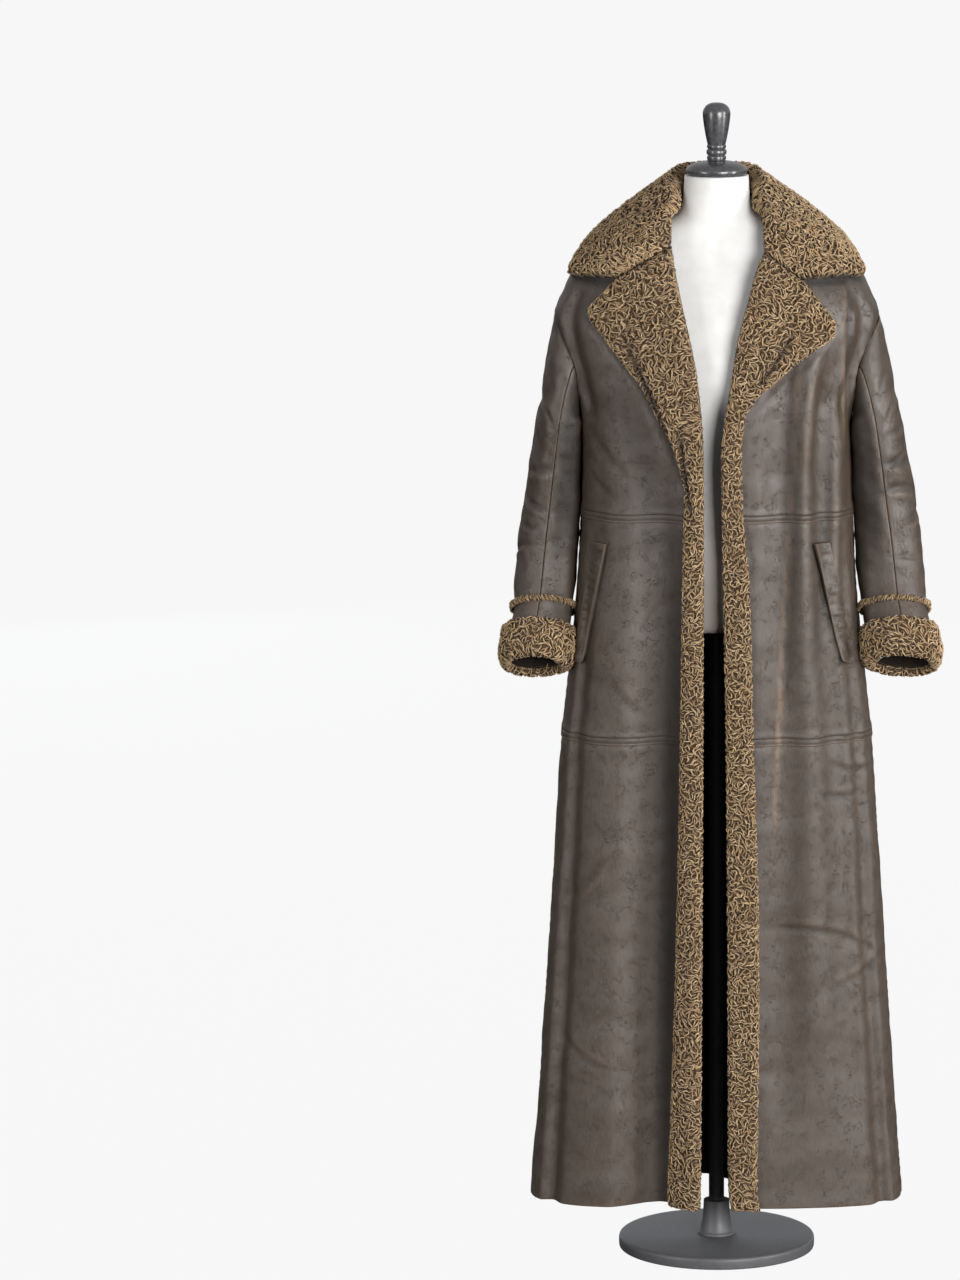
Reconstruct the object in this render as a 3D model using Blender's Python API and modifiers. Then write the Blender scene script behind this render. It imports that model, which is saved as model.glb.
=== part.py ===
"""A floor-length faux shearling coat, worn open on a limbless dress form.

Metres, +Z up. The origin is the middle of the base disc's underside, the coat's front faces -Y, and
the wearer's right is at -X. Each panel, band, cuff and trim is one closed wall of its own, worked out
from the section tables below, with a narrow gap at every seam.

"around" runs round the coat: 0 at the centre front, 0.5 at the wearer's left side, -0.5 at the right
side, and 1 or -1 at the centre back. "level" is the height before seams rise or dip.
"""

import math
from collections import namedtuple

import bmesh
import bpy
from mathutils import Vector

# Cloth and gaps
SEAM_GAP = 0.0003
CLOTH = 0.005
SLEEVE_CLOTH = 0.004
PILE = 0.013
WELT = 0.003
NORMAL_STEP = 0.004

# Seam levels
HEM = 0.085
KNEE_SEAM = 0.811
WAIST_SEAM = 1.152
ARMPIT = 1.300
ARM_TOP = 1.448
YOKE_SEAM = 1.460
YOKE_GAP = 0.0004
NECK_SEAM = 1.603
FRONT_NECK_DIP = 0.014
NECK_DIP_FROM, NECK_DIP_OVER = 0.43, 0.24
WAIST_BACK_RISE = 0.022
YOKE_ARCH = 0.020
SIDE_SEAM = 0.5
ARMHOLE_SPAN = 0.130
ARMHOLE_CORNER = 2.0
ARMHOLE_GAP = 0.0015
SLEEVE_SEAM_GAP = 0.0012
SLEEVE_SIDES = 16

# Stand
BASE_RADIUS = 0.151
BASE_THICKNESS = 0.018
POLE_RADIUS = 0.0118
SOCKET_TOP = 0.072
TORSO_SIDES = 28
TURN_STEPS = 28
DISC_STEPS = 56

RIGHT, LEFT = -1, 1

Section = namedtuple("Section", "height half_width front back corner")
COAT = (
    Section(0.060, 0.2885, 0.109, 0.108, 3.0),
    Section(0.228, 0.2750, 0.111, 0.108, 3.0),
    Section(0.418, 0.2620, 0.113, 0.108, 2.9),
    Section(0.622, 0.2480, 0.116, 0.108, 2.9),
    Section(0.794, 0.2370, 0.118, 0.107, 2.8),
    Section(0.920, 0.2240, 0.121, 0.106, 2.8),
    Section(1.040, 0.2120, 0.123, 0.105, 2.8),
    Section(1.152, 0.2060, 0.126, 0.105, 2.7),
    Section(1.250, 0.2030, 0.131, 0.108, 2.7),
    Section(1.300, 0.2050, 0.135, 0.110, 2.6),
    Section(1.340, 0.2160, 0.136, 0.112, 2.5),
    Section(1.400, 0.2330, 0.133, 0.113, 2.5),
    Section(1.448, 0.2445, 0.127, 0.113, 2.4),
    Section(1.490, 0.2290, 0.118, 0.110, 2.3),
    Section(1.530, 0.2080, 0.107, 0.103, 2.2),
    Section(1.560, 0.1780, 0.096, 0.095, 2.2),
    Section(1.578, 0.1400, 0.087, 0.087, 2.1),
    Section(1.590, 0.1100, 0.078, 0.080, 2.1),
    Section(1.603, 0.0720, 0.067, 0.070, 2.0),
    Section(1.620, 0.0650, 0.064, 0.066, 2.0),
)
TORSO = (
    Section(0.974, 0.1500, 0.090, 0.092, 2.2),
    Section(0.982, 0.1580, 0.096, 0.098, 2.2),
    Section(1.060, 0.1660, 0.102, 0.098, 2.2),
    Section(1.140, 0.1420, 0.094, 0.086, 2.1),
    Section(1.205, 0.1260, 0.089, 0.080, 2.1),
    Section(1.280, 0.1380, 0.099, 0.086, 2.1),
    Section(1.365, 0.1540, 0.115, 0.092, 2.2),
    Section(1.430, 0.1600, 0.108, 0.092, 2.2),
    Section(1.500, 0.1680, 0.087, 0.086, 2.2),
    Section(1.535, 0.1700, 0.073, 0.076, 2.2),
    Section(1.556, 0.1640, 0.064, 0.068, 2.2),
    Section(1.5705, 0.1400, 0.058, 0.062, 2.1),
    Section(1.5835, 0.1080, 0.054, 0.058, 2.1),
    Section(1.593, 0.0780, 0.051, 0.055, 2.0),
    Section(1.604, 0.0580, 0.049, 0.052, 2.0),
    Section(1.625, 0.0505, 0.048, 0.049, 2.0),
    Section(1.658, 0.0480, 0.047, 0.047, 2.0),
)
TORSO_TOP = TORSO[-1].height
TORSO_BOTTOM = TORSO[0].height

# Soft vertical folds: where each runs at the hem and at its top, how wide, how far out it pushes the
# cloth at each end, and the heights between which it shows.
Fold = namedtuple("Fold", "hem_around top_around spread hem_push top_push bottom top fade")
FOLDS = (
    Fold(-0.105, -0.125, 0.075, -0.036, -0.008, 0.00, 1.20, 0.16),
    Fold(-0.215, -0.225, 0.070, 0.006, 0.004, 0.00, 1.20, 0.20),
    Fold(0.105, 0.150, 0.055, -0.009, -0.010, 0.30, 1.34, 0.12),
    Fold(0.170, 0.200, 0.045, 0.004, 0.007, 0.40, 1.34, 0.12),
    Fold(0.235, 0.255, 0.050, -0.006, -0.009, 0.30, 1.32, 0.12),
    Fold(0.300, 0.310, 0.040, -0.012, -0.006, 0.00, 0.98, 0.20),
    Fold(-0.300, -0.310, 0.040, -0.014, -0.006, 0.00, 0.98, 0.20),
    Fold(0.735, 0.700, 0.040, -0.016, -0.006, 0.00, 1.05, 0.25),
    Fold(-0.765, -0.720, 0.040, -0.018, -0.006, 0.00, 1.05, 0.25),
    Fold(0.972, 0.965, 0.045, -0.034, 0.000, 0.00, 0.98, 0.20),
    Fold(-0.930, -0.930, 0.060, 0.006, 0.004, 0.00, 1.20, 0.30),
    Fold(0.870, 0.880, 0.070, 0.006, 0.004, 0.00, 1.20, 0.30),
    Fold(0.345, 0.335, 0.050, -0.010, -0.010, 1.34, 1.46, 0.06),
    Fold(-0.345, -0.335, 0.050, -0.010, -0.010, 1.34, 1.46, 0.06),
    Fold(0.668, 0.668, 0.045, -0.008, -0.008, 1.32, 1.43, 0.06),
    Fold(-0.668, -0.668, 0.045, -0.008, -0.008, 1.32, 1.43, 0.06),
)

FRONT_COLUMNS, BACK_COLUMNS = 11, 10
MIDDLE_COLUMNS = 0.4

# Where the two front edges run, as distances from the middle of the body
Edge = namedtuple("Edge", "height right left")
FRONT_EDGE = (
    Edge(0.060, 0.0250, 0.0270),
    Edge(0.120, 0.0240, 0.0180),
    Edge(0.500, 0.0215, 0.0165),
    Edge(0.811, 0.0200, 0.0140),
    Edge(1.152, 0.0190, 0.0080),
    Edge(1.250, 0.0190, 0.0070),
    Edge(1.312, 0.0225, 0.0130),
    Edge(1.368, 0.0290, 0.0225),
    Edge(1.418, 0.0380, 0.0310),
    Edge(1.470, 0.0500, 0.0440),
    Edge(1.520, 0.0600, 0.0560),
    Edge(1.560, 0.0655, 0.0690),
    Edge(1.603, 0.0665, 0.0690),
)
BAND_WIDTH = (
    Edge(0.060, 0.0480, 0.0440),
    Edge(0.500, 0.0370, 0.0470),
    Edge(0.811, 0.0330, 0.0420),
    Edge(1.040, 0.0310, 0.0400),
    Edge(1.190, 0.0290, 0.0310),
    Edge(1.300, 0.0330, 0.0300),
)
EDGE_OVERHANG = 0.004

# Sleeve sections: where the tube's body side and outer side lie, its middle, depth and forward tilt.
Ring = namedtuple("Ring", "along inner_x inner_z outer_x outer_z middle_y half_depth tilt")
SLEEVE = {
    RIGHT: (
        Ring(0.00, 0.2050, 1.300, 0.2460, 1.448, 0.000, 0.070, 0.0),
        Ring(0.10, 0.2065, 1.280, 0.2540, 1.400, 0.002, 0.068, 0.0),
        Ring(0.22, 0.2085, 1.245, 0.2640, 1.335, 0.006, 0.065, 0.0),
        Ring(0.36, 0.2100, 1.195, 0.2780, 1.255, 0.010, 0.062, 2.0),
        Ring(0.50, 0.2130, 1.140, 0.2900, 1.175, 0.012, 0.058, 6.0),
        Ring(0.64, 0.2165, 1.085, 0.3000, 1.105, 0.007, 0.054, 13.0),
        Ring(0.78, 0.2215, 1.035, 0.3050, 1.045, -0.006, 0.050, 21.0),
        Ring(0.86, 0.2260, 1.006, 0.3070, 1.006, -0.020, 0.047, 26.0),
        Ring(0.92, 0.2320, 0.971, 0.3120, 0.971, -0.038, 0.045, 29.0),
        Ring(1.00, 0.2370, 0.922, 0.3180, 0.922, -0.063, 0.043, 30.0),
        Ring(1.05, 0.2380, 0.892, 0.3190, 0.892, -0.080, 0.043, 30.0),
    ),
    LEFT: (
        Ring(0.00, 0.2050, 1.300, 0.2480, 1.448, 0.000, 0.070, 0.0),
        Ring(0.10, 0.2065, 1.280, 0.2580, 1.400, 0.002, 0.068, 0.0),
        Ring(0.22, 0.2085, 1.245, 0.2700, 1.335, 0.006, 0.066, 0.0),
        Ring(0.36, 0.2105, 1.195, 0.2860, 1.255, 0.010, 0.063, 2.0),
        Ring(0.50, 0.2140, 1.140, 0.2990, 1.175, 0.012, 0.059, 6.0),
        Ring(0.64, 0.2180, 1.085, 0.3100, 1.105, 0.007, 0.055, 13.0),
        Ring(0.78, 0.2230, 1.035, 0.3160, 1.045, -0.006, 0.051, 21.0),
        Ring(0.86, 0.2280, 1.006, 0.3180, 1.006, -0.020, 0.048, 26.0),
        Ring(0.92, 0.2340, 0.973, 0.3230, 0.971, -0.038, 0.046, 29.0),
        Ring(1.00, 0.2380, 0.925, 0.3290, 0.921, -0.063, 0.044, 30.0),
        Ring(1.05, 0.2390, 0.895, 0.3310, 0.891, -0.080, 0.044, 30.0),
    ),
}
SLEEVE_BLEND = 0.24
SLEEVE_CORNER = 2.3
CUFF_SEAM = 0.865
SLEEVE_END = 1.0
CUFF_FROM, CUFF_TO = 0.905, 1.02
CUFF_HALF_THICKNESS = 0.0065
TRIM_HALF_LENGTH = 0.013
TRIM_HALF_THICKNESS = 0.0035
RING_LIFT = 0.0008

# Lapels, each going down into the pile band along the front edge: rows run from the roll line out to
# the free edge, as distances from the middle of the body and heights. The top row bends to the gorge.
LapelRow = namedtuple("LapelRow", "along roll_x roll_z edge_x edge_z")
LAPEL = {
    RIGHT: (
        LapelRow(0.00, 0.0655, 1.560, 0.1925, 1.463),
        LapelRow(0.12, 0.0600, 1.520, 0.1870, 1.448),
        LapelRow(0.30, 0.0500, 1.470, 0.1650, 1.421),
        LapelRow(0.46, 0.0380, 1.418, 0.1370, 1.385),
        LapelRow(0.60, 0.0290, 1.368, 0.1110, 1.352),
        LapelRow(0.73, 0.0230, 1.315, 0.0900, 1.310),
        LapelRow(0.86, 0.0195, 1.258, 0.0660, 1.266),
        LapelRow(1.00, 0.0190, 1.200, 0.0470, 1.200),
    ),
    LEFT: (
        LapelRow(0.00, 0.0690, 1.549, 0.1765, 1.446),
        LapelRow(0.14, 0.0590, 1.525, 0.1755, 1.430),
        LapelRow(0.32, 0.0485, 1.486, 0.1480, 1.407),
        LapelRow(0.50, 0.0375, 1.448, 0.1180, 1.385),
        LapelRow(0.70, 0.0280, 1.402, 0.0880, 1.362),
        LapelRow(0.86, 0.0210, 1.355, 0.0620, 1.338),
        LapelRow(1.00, 0.0130, 1.312, 0.0430, 1.312),
    ),
}
NOTCH_SHARE = {RIGHT: 5 / 7, LEFT: 4 / 7}
LAPEL_BOTTOM = {RIGHT: 1.200, LEFT: 1.312}
LAPEL_ROWS, BAND_ROWS, LAPEL_COLUMNS = 10, 16, 7
LAPEL_LIFT, OVERLAY_LIFT = 0.0028, 0.0018
GORGE_GAP, GORGE_FADE = 0.0018, 0.22

# Collar, from the centre back to its front end: where its neck edge lies, where it rolls over, and
# where its outer edge lies. Both edges lie on the coat. Towards the front the neck edge follows the
# gorge, given as a distance from the middle of the body.
CollarRoll = namedtuple("CollarRoll", "along neck_around x y z")
CollarEdge = namedtuple("CollarEdge", "along around level")
Gorge = namedtuple("Gorge", "along x level")
COLLAR_ROLL = (
    CollarRoll(0.00, 1.000, 0.0000, 0.0830, 1.664),
    CollarRoll(0.16, 0.850, 0.0370, 0.0740, 1.661),
    CollarRoll(0.32, 0.680, 0.0600, 0.0460, 1.652),
    CollarRoll(0.46, 0.520, 0.0650, 0.0080, 1.641),
    CollarRoll(0.60, 0.360, 0.0650, -0.0300, 1.621),
    CollarRoll(0.72, 0.200, 0.0640, -0.0600, 1.603),
)
COLLAR_EDGE = (
    CollarEdge(0.00, 1.000, 1.572),
    CollarEdge(0.16, 0.860, 1.571),
    CollarEdge(0.32, 0.715, 1.567),
    CollarEdge(0.46, 0.585, 1.557),
    CollarEdge(0.60, 0.505, 1.543),
    CollarEdge(0.72, 0.455, 1.530),
    CollarEdge(0.81, 0.426, 1.519),
    CollarEdge(0.91, 0.400, 1.511),
    CollarEdge(1.00, 0.385, 1.507),
)
GORGE = {
    RIGHT: (
        Gorge(0.72, 0.0680, 1.6020),
        Gorge(0.76, 0.0670, 1.5850),
        Gorge(0.81, 0.0670, 1.5630),
        Gorge(1.00, 0.1500, 1.5120),
    ),
    LEFT: (
        Gorge(0.72, 0.0700, 1.6020),
        Gorge(0.76, 0.0695, 1.5820),
        Gorge(0.81, 0.0705, 1.5520),
        Gorge(1.00, 0.1290, 1.5100),
    ),
}
GORGE_FROM, GORGE_CORNER = 0.72, 0.81
COLLAR_PLACES = (0, 0.08, 0.16, 0.24, 0.32, 0.4, 0.46, 0.53, 0.6, 0.66, 0.72, 0.76, 0.81, 0.86, 0.91, 0.96, 1)
COLLAR_LIFT, COLLAR_BULGE, COLLAR_GAP = 0.004, 0.015, 0.0022
COLLAR_STAND_SHARE = 0.3
FRONT_ROLL, LOW_ROLL_FROM = 0.012, 0.56
COLLAR_LIES_FROM, COLLAR_LIES_TO = 0.64, 0.86

# Pocket welts: corner distances from the middle of the body and heights
Welt = namedtuple("Welt", "side top_inner top_outer top bottom_inner bottom_outer bottom")
WELTS = (
    Welt(RIGHT, 0.1620, 0.1840, 1.113, 0.2070, 0.2190, 0.925),
    Welt(LEFT, 0.1480, 0.1740, 1.113, 0.1930, 0.2120, 0.925),
)

# Raw pile edges on the back
CENTRE_TRIM_TOP, CENTRE_TRIM_BOTTOM = 1.4505, 0.405
CENTRE_SEAM_HEM_SHIFT = -0.028
CENTRE_SEAM_TOP_SHIFT = -0.006
TRIM_LIFT, TRIM_PROUD = 0.0009, 0.005
YOKE_TRIM_FROM = 0.690

# Colours as sRGB
Look = namedtuple("Look", "colour roughness metallic")
LOOKS = {
    "leather": Look((0.36, 0.32, 0.29), 0.5, 0.0),
    "pile": Look((0.47, 0.38, 0.26), 0.95, 0.0),
    "torso_cover": Look((0.93, 0.93, 0.92), 0.6, 0.0),
    "black_metal": Look((0.06, 0.06, 0.065), 0.45, 0.6),
    "black_lacquer": Look((0.07, 0.07, 0.07), 0.35, 0.0),
}


def mix(first, last, share):
    """The value a share of the way from first to last."""
    return first + (last - first) * share


def clamp(value):
    """The value held between 0 and 1."""
    return max(0.0, min(1.0, value))


def ease(share):
    """0 to 1 with a gentle start and end."""
    share = clamp(share)
    return share * share * (3 - 2 * share)


def slope_at(keys, values, index):
    """A tangent that never overshoots: the harmonic mean of the slopes on both sides."""
    if index in (0, len(keys) - 1):
        near = 0 if index == 0 else index - 1
        return (values[near + 1] - values[near]) / (keys[near + 1] - keys[near])
    before = (values[index] - values[index - 1]) / (keys[index] - keys[index - 1])
    after = (values[index + 1] - values[index]) / (keys[index + 1] - keys[index])
    return 0.0 if before * after <= 0 else 2 * before * after / (before + after)


def read(table, column, at):
    """A column of a table at a key, on a smooth curve through its rows."""
    keys = [row[0] for row in table]
    values = [getattr(row, column) for row in table]
    at = max(keys[0], min(keys[-1], at))
    index = max(i for i in range(len(keys) - 1) if keys[i] <= at)
    span = keys[index + 1] - keys[index]
    t = (at - keys[index]) / span
    start, end = slope_at(keys, values, index) * span, slope_at(keys, values, index + 1) * span
    return (
        values[index] * (1 + 2 * t) * (1 - t) ** 2
        + start * t * (1 - t) ** 2
        + values[index + 1] * t * t * (3 - 2 * t)
        + end * t * t * (t - 1)
    )


def read_straight(table, column, at):
    """A column of a table at a key, on straight lines between its rows."""
    for before, after in zip(table, table[1:]):
        if at <= after[0] or after is table[-1]:
            share = clamp((at - before[0]) / (after[0] - before[0]))
            return mix(getattr(before, column), getattr(after, column), share)


def rounded_box(angle, corner):
    """Sine and cosine pushed out towards the corners of a square: 2 keeps the circle."""
    sine, cosine = math.sin(angle), math.cos(angle)
    reach = (abs(sine) ** corner + abs(cosine) ** corner) ** (-1 / corner)
    return sine * reach, cosine * reach


def wrapped(around):
    """The same place round the coat, between -1 and 1."""
    return (around + 1) % 2 - 1


def fold_push(around, height):
    """How far the soft folds push the cloth out at this place."""
    push = 0.0
    for fold in FOLDS:
        share = clamp((height - HEM) / max(fold.top - HEM, SEAM_GAP))
        middle = mix(fold.hem_around, fold.top_around, share)
        across = abs(wrapped(around - middle)) / fold.spread
        if across < 1:
            shown = ease((height - fold.bottom) / fold.fade + 1) * ease((fold.top - height) / fold.fade + 1)
            push += mix(fold.hem_push, fold.top_push, share) * math.cos(math.pi / 2 * across) ** 2 * shown
    return push


def section_point(table, around, height, grow=0.0):
    """A point of a table's outline at a height, moved out level by grow."""
    width = read(table, "half_width", height)
    sine, cosine = rounded_box(math.pi * around, read(table, "corner", height))
    depth = read(table, "front" if cosine > 0 else "back", height)
    out = Vector((sine / width, -cosine / depth, 0)).normalized()
    return Vector((width * sine, -depth * cosine, height)) + out * grow


def seam_rise(around, level):
    """Seams are not quite level: the waist seam climbs towards the back, and the yoke seam arches."""
    back = ease((abs(wrapped(around)) - SIDE_SEAM) / SIDE_SEAM)
    waist = WAIST_BACK_RISE * back * math.exp(-(((level - WAIST_SEAM) / 0.11) ** 2))
    yoke = YOKE_ARCH * back * math.exp(-(((level - YOKE_SEAM) / 0.05) ** 2))
    front = ease((NECK_DIP_FROM - abs(wrapped(around))) / NECK_DIP_OVER)
    neck = FRONT_NECK_DIP * front * math.exp(-(((level - NECK_SEAM) / 0.022) ** 2))
    return waist + yoke - neck


def coat_point(around, level):
    """The coat's outer face."""
    height = level + seam_rise(around, level)
    return section_point(COAT, around, height, fold_push(around, height))


def coat_normal(around, level):
    """The coat's outward direction, across a small patch of its face."""
    step = NORMAL_STEP
    across = coat_point(around + step, level) - coat_point(around - step, level)
    up = coat_point(around, level + step) - coat_point(around, level - step)
    return across.cross(up).normalized()


def around_at(side, distance, level):
    """Where round the front the coat's face lies this far from the middle of the body."""
    near, far = 0.0, SIDE_SEAM
    for _ in range(24):
        middle = (near + far) / 2
        if abs(coat_point(side * middle, level).x) < distance:
            near = middle
        else:
            far = middle
    return side * near


def front_edge(side, level):
    """Where round the coat its front edge runs."""
    distance = read(FRONT_EDGE, "right" if side == RIGHT else "left", level)
    return around_at(side, distance + EDGE_OVERHANG, level)


def centre_back(side, level):
    """Where round the coat its centre back seam runs, seen from one side."""
    share = clamp((level - HEM) / (YOKE_SEAM - HEM))
    shift = mix(CENTRE_SEAM_HEM_SHIFT, CENTRE_SEAM_TOP_SHIFT, share)
    width = read(COAT, "half_width", level)
    turn = shift / (math.pi * width)
    return side * (1 - side * turn)


def trimmed(around, level, towards, gap=SEAM_GAP / 2):
    """A seam moved half a gap towards the panel that it ends."""
    step = NORMAL_STEP
    reach = (coat_point(around + step, level) - coat_point(around - step, level)).length / (2 * step)
    return around + towards * gap / reach


def armhole_offset(turn):
    """Level and around offsets of the armhole, as shares of its half sizes; 0 is its top, and a
    quarter turn its back."""
    back, up = rounded_box(turn * 2 * math.pi, ARMHOLE_CORNER)
    return up, back


def armhole_place(side, turn, shrink=1.0):
    """Around and level on the armhole."""
    up, back = armhole_offset(turn)
    middle, half = (ARMPIT + ARM_TOP) / 2, (ARM_TOP - ARMPIT) / 2
    return side * (SIDE_SEAM + ARMHOLE_SPAN * back * shrink), middle + half * up * shrink


def armhole_levels():
    """Levels of the armhole's points, from its bottom up."""
    half_count = SLEEVE_SIDES // 2
    return [armhole_place(LEFT, (half_count - k) / SLEEVE_SIDES)[1] for k in range(half_count + 1)]


def side_edge(side, back, level):
    """The side boundary of a front or back panel: the side seam, and round the armhole."""
    middle, half = (ARMPIT + ARM_TOP) / 2, (ARM_TOP - ARMPIT) / 2
    up = min(1.0, abs(level - middle) / half)
    inset = ARMHOLE_SPAN * (1 - up**ARMHOLE_CORNER) ** (1 / ARMHOLE_CORNER)
    return side * (SIDE_SEAM + (inset if back else -inset))


def even(first, last, count):
    """Evenly spaced values, both ends included."""
    return [mix(first, last, k / count) for k in range(count + 1)]


def material_of(name):
    """The Principled material of a look."""
    made = bpy.data.materials.get(name)
    if made is None:
        made = bpy.data.materials.new(name)
        made.use_nodes = True
        shader = made.node_tree.nodes["Principled BSDF"]
        look = LOOKS[name]
        shader.inputs["Base Color"].default_value = (*(c**2.2 for c in look.colour), 1)
        shader.inputs["Roughness"].default_value = look.roughness
        shader.inputs["Metallic"].default_value = look.metallic
    return made


def place_object(name, mesh_data, look, coat):
    """An object in the coat's collection, smooth with its sharp edges kept."""
    made = bpy.data.objects.new(name, mesh_data)
    coat.objects.link(made)
    made.data.materials.append(material_of(look))
    made.data.shade_smooth()
    made.data.set_sharp_from_angle(angle=math.radians(40))
    return made


def face_outwards(mesh):
    """Turns a closed mesh's faces outwards, thin curved walls too."""
    bmesh.ops.recalc_face_normals(mesh, faces=mesh.faces)
    if mesh.calc_volume(signed=True) < 0:
        bmesh.ops.reverse_faces(mesh, faces=mesh.faces)


def slab(name, columns, rows, place, look, coat):
    """A closed wall from a flat grid: place(u, v) gives the outer and inner point of each place."""
    mesh = bmesh.new()
    bmesh.ops.create_grid(mesh, x_segments=columns, y_segments=rows, size=0.5)
    outer = list(mesh.verts)
    made = bmesh.ops.extrude_face_region(mesh, geom=list(mesh.faces))
    inner = [v for v in made["geom"] if isinstance(v, bmesh.types.BMVert)]
    for points, layer in ((outer, 0), (inner, 1)):
        for vert in points:
            vert.co = place(vert.co.x + 0.5, vert.co.y + 0.5)[layer]
    face_outwards(mesh)
    data = bpy.data.meshes.new(name)
    mesh.to_mesh(data)
    mesh.free()
    return place_object(name, data, look, coat)


def torus(name, around_steps, section_steps, place, look, coat):
    """A closed ring from a torus: place(u, v) gives the point at each turn round it and its section."""
    bpy.ops.mesh.primitive_torus_add(
        major_segments=around_steps, minor_segments=section_steps, major_radius=1, minor_radius=0.25
    )
    made = bpy.context.object
    data = made.data.copy()
    bpy.data.objects.remove(made)
    for vert in data.vertices:
        round_it = math.atan2(vert.co.y, vert.co.x) / (2 * math.pi)
        section = math.atan2(vert.co.z, math.hypot(vert.co.x, vert.co.y) - 1) / (2 * math.pi)
        vert.co = place(round_it, section)
    mesh = bmesh.new()
    mesh.from_mesh(data)
    face_outwards(mesh)
    mesh.to_mesh(data)
    mesh.free()
    data.name = name
    return place_object(name, data, look, coat)


def column_around(start, end, share):
    """Where a column runs between two seams. Near the armhole only the side half gives way to it."""
    side = SIDE_SEAM if start + end > 0 else -SIDE_SEAM
    if abs(start - side) > abs(end - side):
        kept, at = mix(start, side, 0.5), MIDDLE_COLUMNS
    else:
        kept, at = mix(side, end, 0.5), 1 - MIDDLE_COLUMNS
    return mix(start, kept, share / at) if share < at else mix(kept, end, (share - at) / (1 - at))


def panel_columns(first, last, count):
    """The places of a panel's columns at any level, from the seams on its two sides."""

    def columns(level):
        start, end = first(level), last(level)
        return [column_around(start, end, k / count) for k in range(count + 1)]

    return columns


def body_panel(name, columns_at, levels, coat):
    """A panel with these columns, and rows at these levels."""

    def place(u, v):
        level = levels[round(v * (len(levels) - 1))]
        columns = columns_at(level)
        around = columns[round(u * (len(columns) - 1))]
        way = 1 if columns[-1] > columns[0] else -1
        around = trimmed(around, level, way * ((u == 0) - (u == 1))) if u in (0, 1) else around
        point = coat_point(around, level)
        return point, point - coat_normal(around, level) * CLOTH

    return slab(name, len(columns_at(levels[0])) - 1, len(levels) - 1, place, "leather", coat)


def with_gaps(levels, gap=SEAM_GAP):
    """The levels with the two end ones drawn in by half a gap."""
    return [levels[0] + gap / 2, *levels[1:-1], levels[-1] - gap / 2]


def panel_levels():
    """The rows of the lower, middle, front upper and back upper panels, and of the yoke."""
    below_arm = even(WAIST_SEAM, ARMPIT, 3)[:-1]
    over_shoulder = [YOKE_SEAM, 1.480, 1.504, 1.528, 1.547, 1.563, 1.577, 1.590, NECK_SEAM]
    return (
        with_gaps(even(HEM, KNEE_SEAM, 9)),
        with_gaps(even(KNEE_SEAM, WAIST_SEAM, 5)),
        with_gaps(below_arm + armhole_levels() + over_shoulder),
        with_gaps(below_arm + armhole_levels() + [YOKE_SEAM]),
        with_gaps(over_shoulder, YOKE_GAP),
    )


def front_columns(side):
    """The columns of the front panels of one side."""
    return panel_columns(
        lambda at: front_edge(side, at), lambda at: side_edge(side, False, at), FRONT_COLUMNS
    )


def back_columns(side):
    """The columns of the back panels of one side."""
    return panel_columns(
        lambda at: side_edge(side, True, at), lambda at: centre_back(side, at), BACK_COLUMNS
    )


def yoke_columns(level):
    """The columns of the yoke, in line with those of the backs below it."""
    left, right = back_columns(LEFT)(level), back_columns(RIGHT)(level)
    return left + [2 + around for around in reversed(right[:-1])]


def body_panels(coat):
    """Fronts and backs in three tiers, and the back yoke."""
    lower, middle, front_upper, back_upper, yoke = panel_levels()
    for side, word in ((RIGHT, "right"), (LEFT, "left")):
        tiers = (("lower", lower, lower), ("middle", middle, middle), ("upper", front_upper, back_upper))
        for tier, front_rows, back_rows in tiers:
            body_panel(f"front_{tier}_{word}", front_columns(side), front_rows, coat)
            body_panel(f"back_{tier}_{word}", back_columns(side), back_rows, coat)
    body_panel("back_yoke", yoke_columns, yoke, coat)


def sleeve_point(side, turn, along):
    """The sleeve's outer face: turn 0 is its outer side and a quarter its back."""
    table = SLEEVE[side]
    inner = Vector((read(table, "inner_x", along), 0, read(table, "inner_z", along)))
    outer = Vector((read(table, "outer_x", along), 0, read(table, "outer_z", along)))
    tilt = math.radians(read(table, "tilt", along))
    deep = Vector((0, math.cos(tilt), -math.sin(tilt))) * read(table, "half_depth", along)
    back, out = rounded_box(turn * 2 * math.pi, SLEEVE_CORNER)
    middle = (inner + outer) / 2 + Vector((0, read(table, "middle_y", along), 0))
    ring = middle + (outer - inner) / 2 * out + deep * back
    ring.x *= side
    shrink = 1 - 2 * ARMHOLE_GAP / (ARM_TOP - ARMPIT)
    seam = coat_point(*armhole_place(side, turn, shrink))
    return seam.lerp(ring, ease(along / SLEEVE_BLEND))


def sleeve_normal(side, turn, along):
    """The sleeve's outward direction."""
    step = NORMAL_STEP * 2
    below = max(0.0, along - step)
    across = sleeve_point(side, turn + step, along) - sleeve_point(side, turn - step, along)
    down = sleeve_point(side, turn, along + step) - sleeve_point(side, turn, below)
    return across.cross(down).normalized() * -side


def sleeve_reach(side, turn, along):
    """How far the sleeve's face moves for one unit of turn and of along."""
    step = NORMAL_STEP
    here = sleeve_point(side, turn, along)
    return (
        (sleeve_point(side, turn + step, along) - here).length / step,
        (sleeve_point(side, turn, along + step) - here).length / step,
    )


def sleeve_panel(name, side, first, last, columns, top, bottom, rows, coat):
    """A lengthwise piece of a sleeve between two of its seams."""

    def place(u, v):
        start_gap, end_gap = (0 if top == 0 else SEAM_GAP / 2), SEAM_GAP / 2
        along = mix(top, bottom, v)
        turn = mix(first, last, u)
        wide, long = sleeve_reach(side, turn, along)
        turn += (1 - 2 * u) * (SLEEVE_SEAM_GAP / 2) / wide * (u in (0, 1))
        along += (start_gap * (v == 0) - end_gap * (v == 1)) / long
        point = sleeve_point(side, turn, along)
        return point, point - sleeve_normal(side, turn, along) * SLEEVE_CLOTH

    return slab(name, columns, rows, place, "leather", coat)


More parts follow.
